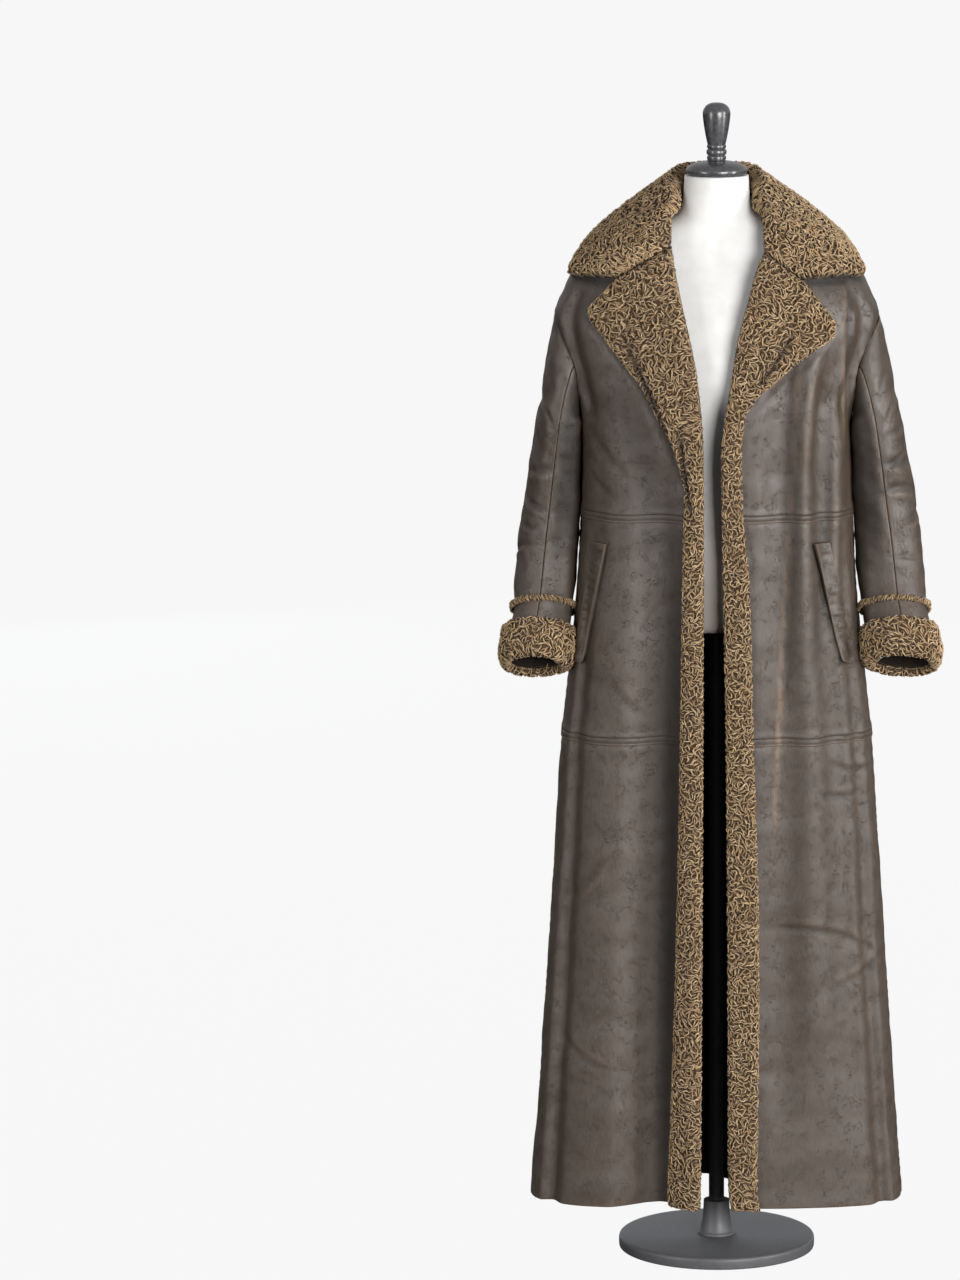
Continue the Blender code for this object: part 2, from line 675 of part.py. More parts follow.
def sleeve_ring(name, side, start, end, half_thickness, section_steps, coat):
    """A pile ring round a sleeve, from its own points moved out."""

    def place(turn, section):
        up, out = rounded_box(section * 2 * math.pi, 2.6)
        along = mix(start, end, (1 - up / rounded_box(math.pi / 2, 2.6)[0]) / 2)
        point = sleeve_point(side, turn, along)
        lift = RING_LIFT + half_thickness * (1 + out)
        return point + sleeve_normal(side, turn, along) * lift

    return torus(name, SLEEVE_SIDES, section_steps, place, "pile", coat)


def sleeves(coat):
    """Two-piece sleeves with their cuff bands, pile trims and turned-back pile cuffs."""
    back_seam, front_seam = 0.25, -0.25
    for side, word in ((RIGHT, "right"), (LEFT, "left")):
        pieces = (("top", front_seam, back_seam), ("under", back_seam, 1 + front_seam))
        for piece, first, last in pieces:
            turns = (first, last, SLEEVE_SIDES // 2)
            sleeve_panel(f"{piece}_sleeve_{word}", side, *turns, 0, CUFF_SEAM, 12, coat)
            sleeve_panel(f"{piece}_cuff_band_{word}", side, *turns, CUFF_SEAM, SLEEVE_END, 2, coat)
        trim_from, trim_to = CUFF_SEAM - TRIM_HALF_LENGTH, CUFF_SEAM + TRIM_HALF_LENGTH
        sleeve_ring(f"cuff_trim_{word}", side, trim_from, trim_to, TRIM_HALF_THICKNESS, 6, coat)
        sleeve_ring(f"pile_cuff_{word}", side, CUFF_FROM, CUFF_TO, CUFF_HALF_THICKNESS, 10, coat)


def edge_round(share, least=0.35):
    """Thickness share of a pile piece: full in the middle and rounded at its edges."""
    return least + (1 - least) * (1 - abs(2 * share - 1) ** 4)


def front_facet(side, around, level):
    """The point of a front panel's flat facets at this place."""
    levels = next(rows for rows in panel_levels()[:3] if level <= rows[-1] + SEAM_GAP)
    level = min(levels[-1], max(level, levels[0]))
    row = max(i for i in range(len(levels) - 1) if levels[i] <= level)
    found = []
    for at in (levels[row], levels[row + 1]):
        columns = front_columns(side)(at)
        shares = [(around - a) / (b - a) for a, b in zip(columns, columns[1:])]
        column = next((k for k, share in enumerate(shares) if share <= 1), FRONT_COLUMNS - 1)
        near, far = coat_point(columns[column], at), coat_point(columns[column + 1], at)
        found.append(near.lerp(far, max(-0.5, shares[column])))
    return found[0].lerp(found[1], (level - levels[row]) / (levels[row + 1] - levels[row]))


def pile_on_coat(around, level, lift, thickness):
    """Outer and inner points of a piece that lies on the coat."""
    if abs(around) < SIDE_SEAM:
        point = front_facet(LEFT if around > 0 else RIGHT, around, level)
    else:
        point = coat_point(around, level)
    out = coat_normal(around, level)
    return point + out * (lift + thickness), point + out * lift


def lapel_place(side, across, along):
    """Where round the coat, and at which level, a place on the lapel lies."""
    table = LAPEL[side]
    roll_x, roll_z = read(table, "roll_x", along), read(table, "roll_z", along)
    edge_x, edge_z = read(table, "edge_x", along), read(table, "edge_z", along)
    x, level = mix(roll_x, edge_x, across), mix(roll_z, edge_z, across)
    notch, gorge = NOTCH_SHARE[side], GORGE[side]
    at = mix(GORGE_CORNER, 1, min(1, across / notch))
    top_x, top_z = read_straight(gorge, "x", at), read_straight(gorge, "level", at) - GORGE_GAP
    rest = max(0, (across - notch) / (1 - notch))
    top_x, top_z = mix(top_x, table[0].edge_x, rest), mix(top_z, table[0].edge_z, rest)
    bend = 1 - ease(along / GORGE_FADE)
    x += (top_x - mix(table[0].roll_x, table[0].edge_x, across)) * bend
    level += (top_z - mix(table[0].roll_z, table[0].edge_z, across)) * bend
    return around_at(side, x, level), level


def band_place(side, across, level):
    """Where round the coat a place on the pile band along its front edge lies."""
    column = "right" if side == RIGHT else "left"
    edge = read(FRONT_EDGE, column, level)
    return around_at(side, edge + read(BAND_WIDTH, column, level) * across, level), level


def facings(coat):
    """The lapels and front edges, turned back so that their pile shows, each in one piece."""
    for side, word in ((RIGHT, "right"), (LEFT, "left")):

        def place(u, v, s=side):
            row = round(v * (LAPEL_ROWS + BAND_ROWS))
            if row > BAND_ROWS:
                around, level = lapel_place(s, u, 1 - (row - BAND_ROWS) / LAPEL_ROWS)
            else:
                around, level = band_place(s, u, mix(HEM - 0.003, LAPEL_BOTTOM[s], row / BAND_ROWS))
            return pile_on_coat(around, level, LAPEL_LIFT, PILE * edge_round(u))

        slab(f"lapel_and_band_{word}", LAPEL_COLUMNS, LAPEL_ROWS + BAND_ROWS, place, "pile", coat)


def collar_neck(side, along):
    """Where round the coat, and at which level, the collar is sewn on."""
    if along < GORGE_FROM:
        meet = GORGE[side][0]
        miss = abs(around_at(side, meet.x, meet.level)) - COLLAR_ROLL[-1].neck_around
        around = read(COLLAR_ROLL, "neck_around", along) + miss * ease(along / GORGE_FROM * 2 - 1)
        return side * around, NECK_SEAM
    level = read_straight(GORGE[side], "level", along)
    return around_at(side, read_straight(GORGE[side], "x", along), level), level


def collar_surface(side, along, across):
    """The collar's under face: up from the neck seam, over the roll and down to the outer edge."""
    neck_around, neck_level = collar_neck(side, along)
    edge_around, edge_level = side * read(COLLAR_EDGE, "around", along), read(COLLAR_EDGE, "level", along)
    neck = coat_point(neck_around, neck_level) + Vector((0, 0, COLLAR_GAP))
    roll = Vector([turn * read(COLLAR_ROLL, axis, along) for turn, axis in ((side, "x"), (1, "y"), (1, "z"))])
    low_roll = neck + Vector((-0.2 * side, 0.1, 1)) * FRONT_ROLL
    roll = roll.lerp(low_roll, ease((along - LOW_ROLL_FROM) / (GORGE_FROM - LOW_ROLL_FROM)))
    edge = coat_point(edge_around, edge_level) + coat_normal(edge_around, edge_level) * COLLAR_LIFT
    if across < COLLAR_STAND_SHARE:
        free = neck.lerp(roll, math.sin(across / COLLAR_STAND_SHARE * math.pi / 2))
    else:
        t = (across - COLLAR_STAND_SHARE) / (1 - COLLAR_STAND_SHARE)
        out = Vector((roll.x, roll.y, 0)).normalized()
        drop, reach = roll.z - edge.z, math.hypot(edge.x - roll.x, edge.y - roll.y)
        bulge = (out * drop + Vector((0, 0, reach))).normalized() * COLLAR_BULGE
        middle = roll.lerp(edge, 0.5) + bulge
        free = roll * (1 - t) ** 2 + middle * 2 * t * (1 - t) + edge * t * t
    around, level = mix(neck_around, edge_around, across), mix(neck_level, edge_level, across)
    lift = OVERLAY_LIFT + (COLLAR_LIFT - OVERLAY_LIFT) * across + 0.006 * math.sin(math.pi * across)
    lying = coat_point(around, level) + coat_normal(around, level) * lift
    return free.lerp(lying, ease((along - COLLAR_LIES_FROM) / (COLLAR_LIES_TO - COLLAR_LIES_FROM)))


def collar(coat):
    """The wide turned-down collar."""
    step = 0.01
    places = [-a for a in reversed(COLLAR_PLACES[1:])] + list(COLLAR_PLACES)

    def surface(along, across):
        return collar_surface(RIGHT if along < 0 else LEFT, min(1, abs(along)), clamp(across))

    def place(u, v):
        along = places[round(u * (len(places) - 1))]
        point = surface(along, v)
        ahead = surface(along + step, v) - surface(along - step, v)
        up = surface(along, v + 5 * step) - surface(along, v - 5 * step)
        out = ahead.cross(up).normalized()
        end = edge_round(0.5 + 0.5 * ease((abs(along) - 0.9) / 0.1))
        rim = edge_round(0.5 + 0.5 * ease((v - 0.75) / 0.25))
        return point, point + out * mix(CLOTH, PILE, ease(v / COLLAR_STAND_SHARE)) * end * rim

    slab("collar", len(places) - 1, 9, place, "pile", coat)


def pocket_welts(coat):
    """The slanted welts of the two front pockets."""
    for welt in WELTS:
        def place(u, v, w=welt):
            inner, outer = mix(w.bottom_inner, w.top_inner, v), mix(w.bottom_outer, w.top_outer, v)
            level = mix(w.bottom, w.top, v)
            around = around_at(w.side, mix(inner, outer, u), level)
            return pile_on_coat(around, level, OVERLAY_LIFT, WELT)

        slab(f"pocket_welt_{'right' if welt.side == RIGHT else 'left'}", 2, 6, place, "leather", coat)


def back_trims(coat):
    """The raw pile edges that show along the yoke seam and the centre back seam."""

    def yoke_place(u, v):
        around = mix(YOKE_TRIM_FROM, 2 - YOKE_TRIM_FROM, u)
        level = YOKE_SEAM + mix(-0.008, 0.005, v)
        return pile_on_coat(around, level, TRIM_LIFT, TRIM_PROUD)

    def centre_place(u, v):
        level = mix(CENTRE_TRIM_BOTTOM, CENTRE_TRIM_TOP, v)
        width = mix(0.006, 0.011, v) / (math.pi * read(COAT, "half_width", level))
        around = centre_back(LEFT, level) + mix(-0.5, 0.5, u) * width
        return pile_on_coat(around, level, TRIM_LIFT, TRIM_PROUD)

    slab("yoke_trim", 24, 1, yoke_place, "pile", coat)
    slab("centre_back_trim", 1, 18, centre_place, "pile", coat)


def turned(name, profile, look, coat, steps=TURN_STEPS):
    """A solid turned about Z from a profile that runs down its outer side."""
    data = bpy.data.meshes.new(name)
    points = [(radius, 0, height) for radius, height in profile]
    data.from_pydata(points, [(k, k + 1) for k in range(len(points) - 1)], [])
    made = place_object(name, data, look, coat)
    screw = made.modifiers.new("turn", "SCREW")
    screw.axis = "Z"
    screw.steps = screw.render_steps = steps
    screw.use_merge_vertices = True
    screw.merge_threshold = 0.00001
    screw.use_smooth_shade = True
    return made


def arc(centre_r, centre_z, radius, start, end, count):
    """Profile points on an arc, angles in degrees from +X."""
    angles = [math.radians(a) for a in even(start, end, count)]
    return [(centre_r + radius * math.cos(a), centre_z + radius * math.sin(a)) for a in angles]


def torso(coat):
    """The smooth torso, lofted through its sections."""
    levels = [row.height for row in TORSO]
    levels = sorted(levels + [mix(a, b, 0.5) for a, b in zip(levels, levels[1:]) if b - a > 0.04])
    mesh = bmesh.new()
    rings = [
        [mesh.verts.new(section_point(TORSO, 2 * k / TORSO_SIDES - 1, level)) for k in range(TORSO_SIDES)]
        for level in levels
    ]
    for below, above in zip(rings, rings[1:]):
        for k in range(TORSO_SIDES):
            n = (k + 1) % TORSO_SIDES
            mesh.faces.new((below[k], below[n], above[n], above[k]))
    mesh.faces.new(rings[0])
    mesh.faces.new(rings[-1])
    face_outwards(mesh)
    data = bpy.data.meshes.new("torso")
    mesh.to_mesh(data)
    mesh.free()
    place_object("torso", data, "torso_cover", coat)


def stand(coat):
    """Base disc, flared socket, pole, neck cap and finial."""
    edge = 0.0018
    turned(
        "base_disc",
        [(0, BASE_THICKNESS)]
        + arc(BASE_RADIUS - edge, BASE_THICKNESS - edge, edge, 90, 0, 3)
        + [(BASE_RADIUS, 0), (0, 0)],
        "black_metal",
        coat,
        DISC_STEPS,
    )
    bottom = BASE_THICKNESS + SEAM_GAP
    turned(
        "pole_socket",
        [(0, SOCKET_TOP), (0.0185, SOCKET_TOP), (0.0195, SOCKET_TOP - 0.001), (0.0205, SOCKET_TOP - 0.018)]
        + [(0.0222, SOCKET_TOP - 0.034), (0.0250, SOCKET_TOP - 0.045), (0.0285, bottom + 0.004)]
        + [(0.0285, bottom), (0, bottom)],
        "black_metal",
        coat,
    )
    pole_bottom, pole_top = SOCKET_TOP + SEAM_GAP, TORSO_BOTTOM - SEAM_GAP
    turned(
        "pole",
        [(0, pole_top), (POLE_RADIUS, pole_top), (POLE_RADIUS, pole_bottom), (0, pole_bottom)],
        "black_metal",
        coat,
    )
    cap_bottom = TORSO_TOP + SEAM_GAP
    dome_top = cap_bottom + 0.0215
    turned(
        "neck_cap",
        [(0, dome_top), (0.016, dome_top), (0.028, dome_top - 0.0018), (0.038, dome_top - 0.0048)]
        + arc(0.0396, cap_bottom + 0.0078, 0.0066, 75, -55, 5)
        + [(0.0430, cap_bottom), (0, cap_bottom)],
        "black_lacquer",
        coat,
    )
    low = dome_top + SEAM_GAP
    turned(
        "finial",
        [(0, low + 0.0868)]
        + [(0.0065, low + 0.0863), (0.0125, low + 0.0840), (0.0170, low + 0.0803), (0.0198, low + 0.0755)]
        + [(0.0208, low + 0.0700), (0.0203, low + 0.0620), (0.0184, low + 0.0480), (0.0158, low + 0.0340)]
        + [(0.0136, low + 0.0240), (0.0140, low + 0.0222), (0.0137, low + 0.0190), (0.0126, low + 0.0176)]
        + [(0.0146, low + 0.0158), (0.0151, low + 0.0128), (0.0145, low + 0.0096), (0.0128, low + 0.0080)]
        + [(0.0142, low + 0.0062), (0.0143, low + 0.0034), (0.0135, low), (0, low)],
        "black_lacquer",
        coat,
    )


def main():
    """Clears the scene and builds the coat on its form."""
    for old in list(bpy.data.objects):
        bpy.data.objects.remove(old)
    coat = bpy.data.collections.new("shearling_coat_on_form")
    bpy.context.scene.collection.children.link(coat)
    stand(coat)
    torso(coat)
    body_panels(coat)
    sleeves(coat)
    facings(coat)
    collar(coat)
    pocket_welts(coat)
    back_trims(coat)


main()
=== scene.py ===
"""Looks of an ankle-length faux shearling coat that hangs open on a limbless dress form.

The coat's panels are thin leather shells with creases, lapped seams and stitches. Its collar, lapels,
front edges, cuffs and trims are pads of pile set with curls. Metres, +Z up; the front faces -Y and the
wearer's right is at -X. "around" runs round the coat: 0 at the centre front, 0.5 at the wearer's left
side, -0.5 at the right side, and 1 or -1 at the centre back. "level" is the height before seams rise
or dip.
"""

import math
from collections import namedtuple

import bpy
import numpy as np
from bpy.props import FloatProperty, FloatVectorProperty, IntProperty, PointerProperty
from mathutils import Matrix, Vector


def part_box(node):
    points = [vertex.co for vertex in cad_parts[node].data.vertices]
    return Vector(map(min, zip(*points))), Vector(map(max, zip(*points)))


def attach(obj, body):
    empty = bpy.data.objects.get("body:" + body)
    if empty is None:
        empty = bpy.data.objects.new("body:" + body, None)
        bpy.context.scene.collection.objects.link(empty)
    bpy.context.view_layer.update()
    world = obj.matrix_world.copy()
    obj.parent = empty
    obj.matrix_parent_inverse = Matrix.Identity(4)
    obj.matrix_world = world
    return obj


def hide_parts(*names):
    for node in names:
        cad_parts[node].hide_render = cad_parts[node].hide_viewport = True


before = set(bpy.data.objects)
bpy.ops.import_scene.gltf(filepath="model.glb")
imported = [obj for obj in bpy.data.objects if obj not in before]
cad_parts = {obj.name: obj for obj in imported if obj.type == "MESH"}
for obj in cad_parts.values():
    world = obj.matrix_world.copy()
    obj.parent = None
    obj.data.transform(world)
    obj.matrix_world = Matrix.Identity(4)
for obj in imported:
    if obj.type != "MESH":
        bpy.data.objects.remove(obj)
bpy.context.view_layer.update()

bl_info = {
    "name": "Shearling coat on a form",
    "version": (1, 0, 0),
    "blender": (4, 5, 0),
    "location": "3D View > Sidebar > Coat",
    "description": "Dresses the packed coat and its form in leather, curly pile, cover and lacquer",
    "category": "Object",
}

RIGHT, LEFT = -1, 1
WORDS = {RIGHT: "right", LEFT: "left"}


def tabled(kind, values):
    """A table's rows under the column names of their kind."""
    return tuple(kind(*row) for row in values)



# Cloth
CLOTH = 0.005
SLEEVE_CLOTH = 0.004
PILE = 0.013
SEAM_GAP = 0.0003
NORMAL_STEP = 0.004

# Seam levels
HEM = 0.085
KNEE_SEAM = 0.811
WAIST_SEAM = 1.152
ARMPIT = 1.300
ARM_TOP = 1.448
YOKE_SEAM = 1.460
NECK_SEAM = 1.603
FRONT_NECK_DIP = 0.014
NECK_DIP_FROM, NECK_DIP_OVER = 0.43, 0.24
WAIST_BACK_RISE = 0.022
YOKE_ARCH = 0.020
SIDE_SEAM = 0.5
ARMHOLE_SPAN = 0.130

Section = namedtuple("Section", "height half_width front back corner")
COAT = tabled(Section, [
    (0.060, 0.2885, 0.109, 0.108, 3.0),
    (0.228, 0.2750, 0.111, 0.108, 3.0),
    (0.418, 0.2620, 0.113, 0.108, 2.9),
    (0.622, 0.2480, 0.116, 0.108, 2.9),
    (0.794, 0.2370, 0.118, 0.107, 2.8),
    (0.920, 0.2240, 0.121, 0.106, 2.8),
    (1.040, 0.2120, 0.123, 0.105, 2.8),
    (1.152, 0.2060, 0.126, 0.105, 2.7),
    (1.250, 0.2030, 0.131, 0.108, 2.7),
    (1.300, 0.2050, 0.135, 0.110, 2.6),
    (1.340, 0.2160, 0.136, 0.112, 2.5),
    (1.400, 0.2330, 0.133, 0.113, 2.5),
    (1.448, 0.2445, 0.127, 0.113, 2.4),
    (1.490, 0.2290, 0.118, 0.110, 2.3),
    (1.530, 0.2080, 0.107, 0.103, 2.2),
    (1.560, 0.1780, 0.096, 0.095, 2.2),
    (1.578, 0.1400, 0.087, 0.087, 2.1),
    (1.590, 0.1100, 0.078, 0.080, 2.1),
    (1.603, 0.0720, 0.067, 0.070, 2.0),
    (1.620, 0.0650, 0.064, 0.066, 2.0),
])
TORSO = tabled(Section, [
    (0.974, 0.1500, 0.090, 0.092, 2.2),
    (0.982, 0.1580, 0.096, 0.098, 2.2),
    (1.060, 0.1660, 0.102, 0.098, 2.2),
    (1.140, 0.1420, 0.094, 0.086, 2.1),
    (1.205, 0.1260, 0.089, 0.080, 2.1),
    (1.280, 0.1380, 0.099, 0.086, 2.1),
    (1.365, 0.1540, 0.115, 0.092, 2.2),
    (1.430, 0.1600, 0.108, 0.092, 2.2),
    (1.500, 0.1680, 0.087, 0.086, 2.2),
    (1.535, 0.1700, 0.073, 0.076, 2.2),
    (1.556, 0.1640, 0.064, 0.068, 2.2),
    (1.5705, 0.1400, 0.058, 0.062, 2.1),
    (1.5835, 0.1080, 0.054, 0.058, 2.1),
    (1.593, 0.0780, 0.051, 0.055, 2.0),
    (1.604, 0.0580, 0.049, 0.052, 2.0),
    (1.625, 0.0505, 0.048, 0.049, 2.0),
    (1.658, 0.0480, 0.047, 0.047, 2.0),
])

# Soft vertical folds: where each runs at the hem and at its top, how wide, how far out it pushes the
# cloth at each end, and the heights between which it shows.
Fold = namedtuple("Fold", "hem_around top_around spread hem_push top_push bottom top fade")
FOLDS = tabled(Fold, [
    (-0.105, -0.125, 0.075, -0.036, -0.008, 0.00, 1.20, 0.16),
    (-0.215, -0.225, 0.070, 0.006, 0.004, 0.00, 1.20, 0.20),
    (0.105, 0.150, 0.055, -0.009, -0.010, 0.30, 1.34, 0.12),
    (0.170, 0.200, 0.045, 0.004, 0.007, 0.40, 1.34, 0.12),
    (0.235, 0.255, 0.050, -0.006, -0.009, 0.30, 1.32, 0.12),
    (0.300, 0.310, 0.040, -0.012, -0.006, 0.00, 0.98, 0.20),
    (-0.300, -0.310, 0.040, -0.014, -0.006, 0.00, 0.98, 0.20),
    (0.735, 0.700, 0.040, -0.016, -0.006, 0.00, 1.05, 0.25),
    (-0.765, -0.720, 0.040, -0.018, -0.006, 0.00, 1.05, 0.25),
    (0.972, 0.965, 0.045, -0.034, 0.000, 0.00, 0.98, 0.20),
    (-0.930, -0.930, 0.060, 0.006, 0.004, 0.00, 1.20, 0.30),
    (0.870, 0.880, 0.070, 0.006, 0.004, 0.00, 1.20, 0.30),
    (0.345, 0.335, 0.050, -0.010, -0.010, 1.34, 1.46, 0.06),
    (-0.345, -0.335, 0.050, -0.010, -0.010, 1.34, 1.46, 0.06),
    (0.668, 0.668, 0.045, -0.008, -0.008, 1.32, 1.43, 0.06),
    (-0.668, -0.668, 0.045, -0.008, -0.008, 1.32, 1.43, 0.06),
])

# Where the two front edges run, as distances from the middle of the body
Edge = namedtuple("Edge", "height right left")
FRONT_EDGE = tabled(Edge, [
    (0.060, 0.0250, 0.0270),
    (0.120, 0.0240, 0.0180),
    (0.500, 0.0215, 0.0165),
    (0.811, 0.0200, 0.0140),
    (1.152, 0.0190, 0.0080),
    (1.250, 0.0190, 0.0070),
    (1.312, 0.0225, 0.0130),
    (1.368, 0.0290, 0.0225),
    (1.418, 0.0380, 0.0310),
    (1.470, 0.0500, 0.0440),
    (1.520, 0.0600, 0.0560),
    (1.560, 0.0655, 0.0690),
    (1.603, 0.0665, 0.0690),
])
BAND_WIDTH = tabled(Edge, [
    (0.060, 0.0480, 0.0440),
    (0.500, 0.0370, 0.0470),
    (0.811, 0.0330, 0.0420),
    (1.040, 0.0310, 0.0400),
    (1.190, 0.0290, 0.0310),
    (1.300, 0.0330, 0.0300),
])
EDGE_OVERHANG = 0.004
CENTRE_SEAM_HEM_SHIFT = -0.028
CENTRE_SEAM_TOP_SHIFT = -0.006

# Sleeve sections: where the tube's body side and outer side lie, its middle, depth and forward tilt.
Ring = namedtuple("Ring", "along inner_x inner_z outer_x outer_z middle_y half_depth tilt")
SLEEVE = {
    RIGHT: tabled(Ring, [
        (0.00, 0.2050, 1.300, 0.2460, 1.448, 0.000, 0.070, 0.0),
        (0.10, 0.2065, 1.280, 0.2540, 1.400, 0.002, 0.068, 0.0),
        (0.22, 0.2085, 1.245, 0.2640, 1.335, 0.006, 0.065, 0.0),
        (0.36, 0.2100, 1.195, 0.2780, 1.255, 0.010, 0.062, 2.0),
        (0.50, 0.2130, 1.140, 0.2900, 1.175, 0.012, 0.058, 6.0),
        (0.64, 0.2165, 1.085, 0.3000, 1.105, 0.007, 0.054, 13.0),
        (0.78, 0.2215, 1.035, 0.3050, 1.045, -0.006, 0.050, 21.0),
        (0.86, 0.2260, 1.006, 0.3070, 1.006, -0.020, 0.047, 26.0),
        (0.92, 0.2320, 0.971, 0.3120, 0.971, -0.038, 0.045, 29.0),
        (1.00, 0.2370, 0.922, 0.3180, 0.922, -0.063, 0.043, 30.0),
        (1.05, 0.2380, 0.892, 0.3190, 0.892, -0.080, 0.043, 30.0),
    ]),
    LEFT: tabled(Ring, [
        (0.00, 0.2050, 1.300, 0.2480, 1.448, 0.000, 0.070, 0.0),
        (0.10, 0.2065, 1.280, 0.2580, 1.400, 0.002, 0.068, 0.0),
        (0.22, 0.2085, 1.245, 0.2700, 1.335, 0.006, 0.066, 0.0),
        (0.36, 0.2105, 1.195, 0.2860, 1.255, 0.010, 0.063, 2.0),
        (0.50, 0.2140, 1.140, 0.2990, 1.175, 0.012, 0.059, 6.0),
        (0.64, 0.2180, 1.085, 0.3100, 1.105, 0.007, 0.055, 13.0),
        (0.78, 0.2230, 1.035, 0.3160, 1.045, -0.006, 0.051, 21.0),
        (0.86, 0.2280, 1.006, 0.3180, 1.006, -0.020, 0.048, 26.0),
        (0.92, 0.2340, 0.973, 0.3230, 0.971, -0.038, 0.046, 29.0),
        (1.00, 0.2380, 0.925, 0.3290, 0.921, -0.063, 0.044, 30.0),
        (1.05, 0.2390, 0.895, 0.3310, 0.891, -0.080, 0.044, 30.0),
    ]),
}
SLEEVE_BLEND = 0.24
REST_GAP, REST_REACH = 0.0008, 0.036
SLEEVE_CORNER = 2.3
CUFF_SEAM = 0.865
SLEEVE_END = 0.985
CUFF_FROM, CUFF_TO = 0.915, 1.004
CUFF_HALF_THICKNESS = 0.0068
TRIM_HALF_LENGTH = 0.0085
TRIM_HALF_THICKNESS = 0.0030
RING_LIFT = 0.0008

LapelRow = namedtuple("LapelRow", "along roll_x roll_z edge_x edge_z")
LAPEL = {
    RIGHT: tabled(LapelRow, [
        (0.00, 0.0655, 1.560, 0.1925, 1.463),
        (0.12, 0.0600, 1.520, 0.1870, 1.448),
        (0.30, 0.0500, 1.470, 0.1650, 1.421),
        (0.46, 0.0380, 1.418, 0.1370, 1.385),
        (0.60, 0.0290, 1.368, 0.1110, 1.352),
        (0.73, 0.0230, 1.315, 0.0900, 1.310),
        (0.86, 0.0195, 1.258, 0.0660, 1.266),
        (1.00, 0.0190, 1.200, 0.0470, 1.200),
    ]),
    LEFT: tabled(LapelRow, [
        (0.00, 0.0690, 1.549, 0.1765, 1.446),
        (0.14, 0.0590, 1.525, 0.1755, 1.430),
        (0.32, 0.0485, 1.486, 0.1480, 1.407),
        (0.50, 0.0375, 1.448, 0.1180, 1.385),
        (0.70, 0.0280, 1.402, 0.0880, 1.362),
        (0.86, 0.0210, 1.355, 0.0620, 1.338),
        (1.00, 0.0130, 1.312, 0.0430, 1.312),
    ]),
}
NOTCH_SHARE = {RIGHT: 5 / 7, LEFT: 4 / 7}
LAPEL_BOTTOM = {RIGHT: 1.200, LEFT: 1.312}
LAPEL_LIFT = 0.0012
GORGE_GAP, GORGE_FADE = 0.0018, 0.22

# Furrows across the lapels: a line and its width
LAPEL_FURROWS = {
    RIGHT: ((-0.140, 1.437, -0.070, 1.277, 0.0042), (-0.055, 1.300, -0.036, 1.150, 0.0035)),
    LEFT: ((0.118, 1.440, 0.060, 1.352, 0.0036),),
}

# Collar, from the centre back to its front end
CollarRoll = namedtuple("CollarRoll", "along neck_around x y z")
CollarEdge = namedtuple("CollarEdge", "along around level")
Gorge = namedtuple("Gorge", "along x level")
COLLAR_ROLL = tabled(CollarRoll, [
    (0.00, 1.000, 0.0000, 0.0830, 1.664),
    (0.16, 0.850, 0.0370, 0.0740, 1.661),
    (0.32, 0.680, 0.0600, 0.0460, 1.652),
    (0.46, 0.520, 0.0650, 0.0080, 1.641),
    (0.60, 0.360, 0.0650, -0.0300, 1.621),
    (0.72, 0.200, 0.0640, -0.0600, 1.603),
])
COLLAR_EDGE = tabled(CollarEdge, [
    (0.00, 1.000, 1.572),
    (0.16, 0.860, 1.571),
    (0.32, 0.715, 1.567),
    (0.46, 0.585, 1.557),
    (0.60, 0.505, 1.543),
    (0.72, 0.455, 1.530),
    (0.81, 0.426, 1.519),
    (0.91, 0.400, 1.511),
    (1.00, 0.385, 1.507),
])
GORGE = {
    RIGHT: tabled(Gorge, [
        (0.72, 0.0680, 1.6020),
        (0.76, 0.0670, 1.5850),
        (0.81, 0.0670, 1.5630),
        (1.00, 0.1500, 1.5120),
    ]),
    LEFT: tabled(Gorge, [
        (0.72, 0.0700, 1.6020),
        (0.76, 0.0695, 1.5820),
        (0.81, 0.0705, 1.5520),
        (1.00, 0.1290, 1.5100),
    ]),
}
GORGE_FROM, GORGE_CORNER = 0.72, 0.81
COLLAR_LIFT, COLLAR_UNDER_LIFT, COLLAR_BULGE, COLLAR_GAP = 0.004, 0.0018, 0.015, 0.0022
COLLAR_STAND_SHARE = 0.3
FRONT_ROLL, LOW_ROLL_FROM = 0.012, 0.56
COLLAR_LIES_FROM, COLLAR_LIES_TO = 0.64, 0.86

Welt = namedtuple("Welt", "side top_inner top_outer top bottom_inner bottom_outer bottom")
WELTS = tabled(Welt, [
    (RIGHT, 0.1625, 0.1850, 1.113, 0.1990, 0.2170, 0.925),
    (LEFT, 0.1440, 0.1700, 1.113, 0.1880, 0.2130, 0.925),
])
WELT, WELT_CORNER = 0.003, 0.009

CENTRE_TRIM_TOP, CENTRE_TRIM_BOTTOM = 1.4505, 0.405
YOKE_TRIM_FROM = 0.690
TRIM_LIFT, TRIM_PROUD = 0.0009, 0.005

# Shells: spacing of the leather grid, how coarse the inner side is, the rolled edge's radius, and how
# far the upper panel laps over the lower one at the waist and knee seams.
BODY_STEP, SLEEVE_STEP = 0.005, 0.0047
INNER_STRIDE = 3
EDGE_LINES = (0.0, 0.0005, 0.0012, 0.0024)
LAP_LINES = (0.0, 0.0005, 0.0012, 0.0024, 0.0035, 0.0047, 0.0075, 0.0096, 0.0106, 0.0115, 0.0124, 0.0134, 0.0165)
EDGE_ROLL = 0.0020
LAP, LAP_RAISE, LAP_BAND, LAP_UNDER, LAP_SUNK = 0.006, 0.0017, 0.014, 0.003, 0.0018
LAP_EDGE_THICK = 0.0018

# Heights between which the leather turns from matt, on the skirt, to satin
MATT_BELOW, SATIN_ABOVE = 0.90, 1.25

# Locks of pile: points along each, and the width of the swirls that they run in
LOCK_STEPS = 7
SWIRL = 0.026
LOCK_STRAY, LOCK_BEND = 0.11, 70.0

